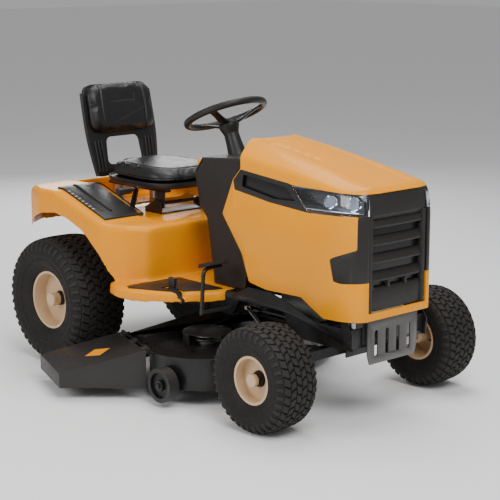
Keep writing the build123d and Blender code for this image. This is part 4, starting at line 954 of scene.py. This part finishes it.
def swell(piece, pressure, cap, voxel=0.005):
    """Fills a closed pad like an inflated cover: remesh, cloth under pressure, a capped move."""
    remesh = piece.modifiers.new("remesh", "REMESH")
    remesh.mode = "VOXEL"
    remesh.voxel_size = voxel
    settle(piece)
    start = [v.co.copy() for v in piece.data.vertices]
    cloth = piece.modifiers.new("cover", "CLOTH")
    cloth.settings.quality = 5
    cloth.settings.mass = 0.3
    cloth.settings.tension_stiffness = 18
    cloth.settings.compression_stiffness = 18
    cloth.settings.bending_stiffness = 1.5
    cloth.settings.use_pressure = True
    cloth.settings.uniform_pressure_force = pressure
    cloth.settings.effector_weights.gravity = 0
    cloth.point_cache.frame_start = 1
    cloth.point_cache.frame_end = 20
    scene = bpy.context.scene
    for step in range(1, 21):
        scene.frame_set(step)
    settle(piece)
    scene.frame_set(1)
    for vertex, where in zip(piece.data.vertices, start):
        move = vertex.co - where
        if move.length > cap / 1000:
            vertex.co = where + move.normalized() * cap / 1000
    return piece


def even_out(piece, repeats, factor=0.5):
    """Relaxes a mesh."""
    relax = piece.modifiers.new("relax", "SMOOTH")
    relax.factor = factor
    relax.iterations = repeats
    return settle(piece)


def pad_shell(name, outline, bottom, top, place, slot, body, levels=18):
    """A closed pad over a flat outline given in mm: bottom and top are heights at (a, b, inset from 0 to 1)."""
    middle = (
        sum(p[0] for p in outline) / len(outline),
        sum(p[1] for p in outline) / len(outline),
    )
    rings = []
    for surface in (bottom, top):
        spans = range(levels) if surface is bottom else reversed(range(levels))
        for level in spans:
            share = (level + 0.5) / (levels - 0.5)
            share = min(share, 1.0)
            ring = []
            for a, b in outline:
                aa = middle[0] + (a - middle[0]) * share
                bb = middle[1] + (b - middle[1]) * share
                ring.append(place(aa, bb, surface(aa, bb, share)))
            rings.append(ring)
    piece = link(name, rings_mesh(rings, name), body, slot)
    return piece


def superellipse(half_a, half_b, power, count, centre=(0.0, 0.0)):
    """A rounded-square outline."""
    points = []
    for k in range(count):
        turn = 2 * math.pi * k / count
        c, s = math.cos(turn), math.sin(turn)
        a = half_a * math.copysign(abs(c) ** (2 / power), c)
        b = half_b * math.copysign(abs(s) ** (2 / power), s)
        points.append((centre[0] + a, centre[1] + b))
    return points


def groove(piece, measure, width, depth, direction):
    """Presses a seam into a pad: measure gives each point's distance from the seam line in mm, or None."""
    for vertex in piece.data.vertices:
        away = measure(vertex.co)
        if away is not None and away < width:
            fall = 0.5 + 0.5 * math.cos(math.pi * away / width)
            vertex.co -= direction(vertex.co) * depth * fall / 1000
    return piece


def stitches(name, host, path, body, slot, length=4.2, gap=3.0, radius=0.55, look=None):
    """A row of thread dashes laid on a pad along a path of (point, outward direction)."""
    from mathutils.bvhtree import BVHTree
    graph = bpy.context.evaluated_depsgraph_get()
    tree = BVHTree.FromObject(host, graph)
    ground = []
    for point, out in path:
        hit = tree.ray_cast(point + out * 0.08, -out, 0.2)
        if hit[0] is not None:
            ground.append((hit[0], hit[1]))
    points, faces = [], []
    travelled, want = 0.0, 0.0
    for (p0, n0), (p1, n1) in zip(ground, ground[1:]):
        span = (p1 - p0).length * 1000
        while want < travelled + span and span > 0:
            share = (want - travelled) / span
            middle = p0.lerp(p1, share) + n0 * 0.0002
            way = (p1 - p0).normalized()
            across = way.cross(n0).normalized()
            start = len(points)
            for along, size in ((-0.5, 0.4), (-0.3, 1.0), (0.3, 1.0), (0.5, 0.4)):
                for i in range(6):
                    a = math.pi * i / 3
                    off = (across * math.cos(a) + n0 * math.sin(a)) * radius * size / 1000
                    points.append(middle + way * along * length / 1000 + off)
            for s in range(3):
                for i in range(6):
                    j = (i + 1) % 6
                    faces.append((start + s * 6 + i, start + s * 6 + j, start + s * 6 + 6 + j, start + s * 6 + 6 + i))
            faces.append(tuple(start + i for i in range(6)))
            faces.append(tuple(start + 18 + i for i in range(6)))
            want += length + gap
        travelled += span
    piece = link(name, mesh_of(points, faces, name), body, slot, look)
    return smooth(piece, 60.0)


THREAD = finish_look("thread", (0.022, 0.021, 0.021), (0.035, 0.034, 0.033), (0.5, 0.6), ("noise", 900.0, 0.05))


def seat_cushion():
    """The saddle-shaped seat pad with raised rear sides, a rolled front and an inset seam."""
    low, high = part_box("seat_cushion")
    centre = (low + high) / 2
    half_a = (high.x - low.x) * 500 - 8
    half_b = (high.y - low.y) * 500 - 7
    power = 3.4

    def taper(a):
        """Narrower towards the back."""
        back = (1 - a / half_a) / 2
        return 1 - 0.13 * back ** 1.6

    def place(a, b, h):
        return Vector((centre.x + a / 1000, centre.y + b / 1000, low.z + h / 1000))

    def share_of(a, b):
        """0 in the middle and 1 on the outline."""
        return ((abs(a) / half_a) ** power + (abs(b) / (half_b * taper(a))) ** power) ** (1 / power)

    outline = [(a, b * taper(a)) for a, b in superellipse(half_a, half_b, power, 120)]

    def bottom(a, b, share):
        return 1 + 13 * share ** 8

    def top(a, b, share):
        side = (abs(b) / half_b) ** 2.2
        back = (1 - a / half_a) / 2
        front = max(0.0, (a / half_a - 0.45) / 0.55)
        crown = 53 + 13 * side * back ** 0.7 + 8 * max(0.0, back - 0.72) / 0.28 - 15 * front ** 1.6
        crown -= 8 * (1 - side) * max(0.0, 1 - abs(a) / half_a)
        return 17 + (crown - 17) * (1 - min(share, 1.0) ** 7) ** 0.5

    pad = pad_shell("seat_pad", outline, bottom, top, place, "vinyl", "seat")
    swell(pad, 4.0, 9.0)
    even_out(pad, 6)
    seam_share = 0.73

    def seam(point):
        a, b = (point.x - centre.x) * 1000, (point.y - centre.y) * 1000
        if point.z < low.z + 0.024:
            return None
        return abs(share_of(a, b) - seam_share) * (half_a + half_b) / 2

    subdivide = pad.modifiers.new("subdivision", "SUBSURF")
    subdivide.levels = 1
    settle(pad)
    groove(pad, seam, 8.0, 4.2, lambda p: Vector((0, 0, 1)))
    groove(pad, lambda p: abs((p.z - low.z) * 1000 - 19) if share_of(
        (p.x - centre.x) * 1000, (p.y - centre.y) * 1000) > 0.93 else None, 5.0, 2.6,
        lambda p: Vector((p.x - centre.x, p.y - centre.y, 0)).normalized())
    smooth(pad, 80.0)
    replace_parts(pad, "seat_cushion")
    path = []
    for a, b in outline + outline[:1]:
        for scale in (seam_share + 0.035,):
            path.append((place(a * scale, b * scale, 60), Vector((0, 0, 1))))
    stitches("seat_pad_stitching", pad, path, "seat", "vinyl", look=THREAD)


def backrest_cushion():
    """The backrest pad: rolled side wings, two upright seams and a plain pressed panel."""
    low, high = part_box("backrest_cushion")
    thickness = 47.0
    foot = Vector((high.x - (thickness + 1.5) / 1000, (low.y + high.y) / 2, low.z))
    head = Vector((low.x + 0.002, foot.y, high.z))
    up = (head - foot).normalized()
    out = Vector((up.z, 0, -up.x))
    tall = (head - foot).length * 1000
    half_a = (high.y - low.y) * 500 - 1
    half_b = tall / 2 - 2
    power = 5.0

    def place(a, b, h):
        return foot + (Vector((0, a, 0)) + up * (b + tall / 2) + out * h) / 1000

    def local(point):
        away = point - foot
        return away.y * 1000, away.dot(up) * 1000 - tall / 2, away.dot(out) * 1000

    def share_of(a, b):
        return ((abs(a) / half_a) ** power + (abs(b) / half_b) ** power) ** (1 / power)

    outline = superellipse(half_a, half_b, power, 120)
    outline = [(a, b + 5 * (1 - (a / half_a) ** 2) * (1 if b > 0 else 0)) for a, b in outline]

    def bottom(a, b, share):
        return 1 + 8 * share ** 8

    def top(a, b, share):
        wing = max(0.0, (abs(a) / half_a - 0.52) / 0.48)
        crown = 27 + 12 * wing ** 1.4 + 3 * math.cos(math.pi * b / (2 * half_b))
        return 12 + (crown - 12) * (1 - min(share, 1.0) ** 8) ** 0.5

    pad = pad_shell("backrest_pad", outline, bottom, top, place, "vinyl", "seat")
    swell(pad, 4.0, 8.0)
    even_out(pad, 6)
    subdivide = pad.modifiers.new("subdivision", "SUBSURF")
    subdivide.levels = 1
    settle(pad)
    seam_at = half_a * 0.60

    def front(point):
        return local(point)[2] > 16

    def upright(point):
        a, b, h = local(point)
        bow = seam_at + 7 * math.cos(math.pi * b / (2 * half_b))
        return abs(abs(a) - bow) if h > 16 and share_of(a, b) < 0.93 else None

    def border(point):
        a, b, h = local(point)
        return abs(h - 14) if share_of(a, b) > 0.93 else None

    groove(pad, upright, 7.0, 4.0, lambda p: out)
    groove(pad, border, 5.0, 2.6, lambda p: Vector((0, p.y - foot.y, p.z - foot.z - 0.1)).normalized())
    for vertex in pad.data.vertices:
        a, b, h = local(vertex.co)
        if h > 16:
            inside = min(62 - abs(a), 17 - abs(b - 42))
            vertex.co -= out * 2.0 * ramp(inside, -4, 4) / 1000
            crease = abs((b + 30) - 0.35 * (a - 30))
            if abs(a) < 100 and crease < 9:
                vertex.co -= out * 1.6 * (0.5 + 0.5 * math.cos(math.pi * crease / 9)) / 1000
    smooth(pad, 80.0)
    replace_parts(pad, "backrest_cushion")
    for hand in (-1, 1):
        path = []
        for k in range(60):
            b = (k / 59 - 0.5) * 2 * half_b * 0.88
            bow = seam_at + 7 * math.cos(math.pi * b / (2 * half_b)) + 6
            path.append((place(hand * bow, b, 60), out))
        name = f"backrest_pad_stitching_{'left' if hand > 0 else 'right'}"
        stitches(name, pad, path, "seat", "vinyl", look=THREAD)


def seat_shell():
    """The seat's moulded shell: a dished pan, a back with a rounded opening and ribbed uprights."""
    low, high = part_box("backrest_cushion")
    foot = Vector((high.x - 0.0485, (low.y + high.y) / 2, low.z))
    up = (Vector((low.x + 0.002, foot.y, high.z)) - foot).normalized()
    out = Vector((up.z, 0, -up.x))

    def place(a, b, h):
        return foot + (Vector((0, a, 0)) + up * b + out * h) / 1000

    half = [(152, -168), (172, -60), (177, 150), (160, 214)]
    corners = half + [(-a, b) for a, b in reversed(half)]
    outline = rounded(corners, [16, 60, 60, 46, 46, 60, 60, 16], 7, closed=True)
    back = link("seat_back", rings_mesh([[place(a, b, h) for a, b in outline] for h in (-13, 0.5)], "seat_back"),
                "seat", "black_plastic")
    opening = rounded([(-92, -122), (92, -122), (84, -8), (-84, -8)], 26, 7, closed=True)
    carve(back, block("opening", rings_mesh([[place(a, b, h) for a, b in opening] for h in (-30, 30)], "opening")))
    soften(back, 4.0, 3, 40.0)
    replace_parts(back, "seat_shell")
    for side in (-1, 1):
        for k, a in enumerate((112, 128, 144)):
            rib = [place(side * a, -150, 1), place(side * (a + 1), -90, 3), place(side * (a + 4), -20, 2)]
            tube(f"seat_back_rib_{k}_{'left' if side > 0 else 'right'}", "seat", "black_plastic", rib, 4.5)
        edge = [place(side * a, b, -5) for a, b in ((154, -164), (172, -60), (178, 60), (174, 180))]
        tube(f"seat_back_edge_{'left' if side > 0 else 'right'}", "seat", "black_plastic", edge, 7.5)
    pad_low, pad_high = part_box("seat_cushion")
    centre = (pad_low + pad_high) / 2
    half_a = (pad_high.x - pad_low.x) * 500 - 4
    half_b = (pad_high.y - pad_low.y) * 500 - 3
    rings = []
    for grow, h in ((-26, -24), (-12, -21), (-5, -12), (-4, -2), (-5, 3), (-9, 3), (-14, -2)):
        ring = superellipse(half_a + grow, half_b + grow, 3.6, 96)
        rings.append([Vector((centre.x + a / 1000, centre.y + b / 1000 * (1 - 0.06 * (1 - a / half_a) / 2),
                              pad_low.z + h / 1000)) for a, b in ring])
    pan = smooth(link("seat_pan", rings_mesh(rings, "seat_pan"), "seat", "black_plastic"), 40.0)
    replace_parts(pan, "seat_shell")


seat_cushion()
backrest_cushion()
seat_shell()


# ---------------------------------------------------------------- column, levers, pedals and labels


def surface_over(node):
    """A look-down test on a CAD node: gives the point in the row frame above x and y in mm."""
    data = frame["nodes"][node].data
    tree = BVHTree.FromPolygons([v.co for v in data.vertices], [face.vertices for face in data.polygons])

    def over(x, y, lift=0.0):
        hit = tree.ray_cast(mm(x, y, 2000), Vector((0, 0, -1)))[0]
        return None if hit is None else hit + Vector((0, 0, lift / 1000))

    return over


def column_boot():
    """The black tapered cover between the dash and the wheel's hub."""
    rings = []
    for radius, lift in ((40, -215), (37, -175), (31, -120), (28, -62), (25, -52), (22, -46)):
        rings.append([wheel_frame(radius, 2 * math.pi * k / 48, lift) for k in range(48)])
    smooth(link("column_boot", rings_mesh(rings, "column_boot"), "frame", "black_plastic"), 35.0)


def laid(name, body, slot, over, outline, lift, thickness, look=None):
    """A thin patch that follows a surface under its flat outline in x and y."""
    points = [over(x, y, lift) for x, y in outline]
    if None in points:
        return None
    rings = [points, [point + Vector((0, 0, thickness / 1000)) for point in points]]
    return smooth(link(name, rings_mesh(rings, name), body, slot, look), 30.0)


def lever_panel():
    """The lift lever's slot in the right fender panel, with its row of plain marks."""
    over = surface_over("fender_trim")
    slot = [(70 + 20 * k, -386) for k in range(11)] + [(270 - 20 * k, -404) for k in range(11)]
    laid("lever_slot", "frame", "black_paint", over, slot, 0.2, 0.8)
    for k in range(8):
        x = 92 + 22 * k
        mark = [(x, -424), (x + 3, -424), (x + 3, -412), (x, -412)]
        laid(f"lever_mark_{k}", "frame", "black_paint", over, mark, 0.3, 0.6, TICKS)
    for side in (-1, 1):
        for k, y in enumerate((358, 442)):
            line = [over(40 + 16 * i, side * y, 2.0) for i in range(16)]
            line = [point for point in line if point]
            if len(line) > 3:
                tube(f"panel_edge_{k}_{'left' if side > 0 else 'right'}", "frame", "dark_plastic", line, 5.0)


def chute_label():
    """A plain yellow label on the discharge chute."""
    over = surface_over("discharge_chute")
    label = [(430, -560), (492, -536), (500, -590), (438, -612)]
    laid("chute_label", BODY_OF["discharge_chute"], "yellow_paint", over, label, 0.3, 0.6)


def pedal(node, side):
    """A bent foot lever: its shaft, a curved arm and a ribbed rubber pad."""
    pivot = joint_point(node + "_press")
    body = BODY_OF[node]
    low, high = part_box(node)
    outer = low.y if side < 0 else high.y
    turn = -side

    def at(ahead, inward, up):
        return Vector((pivot.x + ahead / 1000, outer + turn * inward / 1000, pivot.z + up / 1000))

    reach = (high.y - low.y) * 1000
    shaft = lathe(node + "_shaft", body, "black_paint", at(0, 0, 0), (0, turn, 0),
                  [(0.2, 0), (6, 0), (7.5, 1.5), (7.5, reach - 1), (0.2, reach - 1)], 32)
    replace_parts(shaft, node)
    arm = [
        at(0, 7, 0), at(3, 7, 60), at(7, 7, 118), at(8, 8, 150), at(4, 22, 163), at(2, 48, 167), at(0, 100, 168),
    ]
    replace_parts(tube(node + "_arm", body, "black_paint", arm, 7.5), node)
    slope = Vector((84, 0, 22)).normalized()
    lift = Vector((-slope.z, 0, slope.x))
    heart = at(0, 64, 172)
    corners = rounded([(-34, -50), (34, -50), (34, 50), (-34, 50)], 12, 6, closed=True)
    outline = [heart + (slope * a + Vector((0, b, 0))) / 1000 for a, b in corners]
    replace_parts(slab(node + "_pad", body, "tyre", outline, 10, lift, 2.5), node)
    for k in range(7):
        across = -42 + 14 * k
        rib = [heart + (slope * a + Vector((0, across, 0)) + lift * 10) / 1000 for a in (-29, -10, 10, 29)]
        tube(f"{node}_rib_{k}", body, "tyre", rib, 3.4)


def nose_mounts():
    """The upright bushes beside the front bumper."""
    for side, hand in HANDS:
        profile = [
            (0.2, 0), (13, 0), (15, 2), (15, 26), (12, 28), (12, 54), (15, 56), (15, 80), (13, 82), (0.2, 82),
        ]
        lathe("nose_bush_" + hand, "frame", "steel", mm(1380, side * 158, 286), (0, 0, 1), profile, 40)


column_boot()
lever_panel()
chute_label()
nose_mounts()
pedal("forward_pedal", -1)
pedal("brake_pedal", 1)


# ---------------------------------------------------------------- floor and light


def studio():
    """A plain pale floor and soft studio light."""
    data = bpy.data.meshes.new("studio_floor")
    reach = 30.0
    corners = [(-reach, -reach, 0), (reach, -reach, 0), (reach, reach, 0), (-reach, reach, 0)]
    data.from_pydata(corners, [], [(0, 1, 2, 3)])
    floor = bpy.data.objects.new("studio_floor", data)
    bpy.context.scene.collection.objects.link(floor)
    pale = bpy.data.materials.new("studio_floor")
    pale.use_nodes = True
    shader = pale.node_tree.nodes["Principled BSDF"]
    input_socket(shader, "Base Color", (0.90, 0.90, 0.90, 1))
    input_socket(shader, "Roughness", 0.9)
    data.materials.append(pale)
    world = bpy.data.worlds.new("studio_air")
    world.use_nodes = True
    background = world.node_tree.nodes["Background"]
    input_socket(background, "Color", (1, 1, 1, 1))
    input_socket(background, "Strength", 0.40)
    bpy.context.scene.world = world
    aim = mm(600, 0, 450)
    for name, where, size, power in (
        ("key_light", mm(3400, -1200, 3600), 2.2, 120.0),
        ("side_light", mm(400, -4200, 2400), 2.0, 80.0),
        ("top_light", mm(200, 800, 4200), 2.6, 110.0),
        ("back_light", mm(-3200, 2400, 2200), 2.0, 60.0),
    ):
        lamp = bpy.data.lights.new(name, "AREA")
        lamp.size = size
        lamp.energy = power
        holder = bpy.data.objects.new(name, lamp)
        bpy.context.scene.collection.objects.link(holder)
        holder.location = where
        holder.rotation_euler = (aim - where).to_track_quat("-Z", "Y").to_euler()


studio()
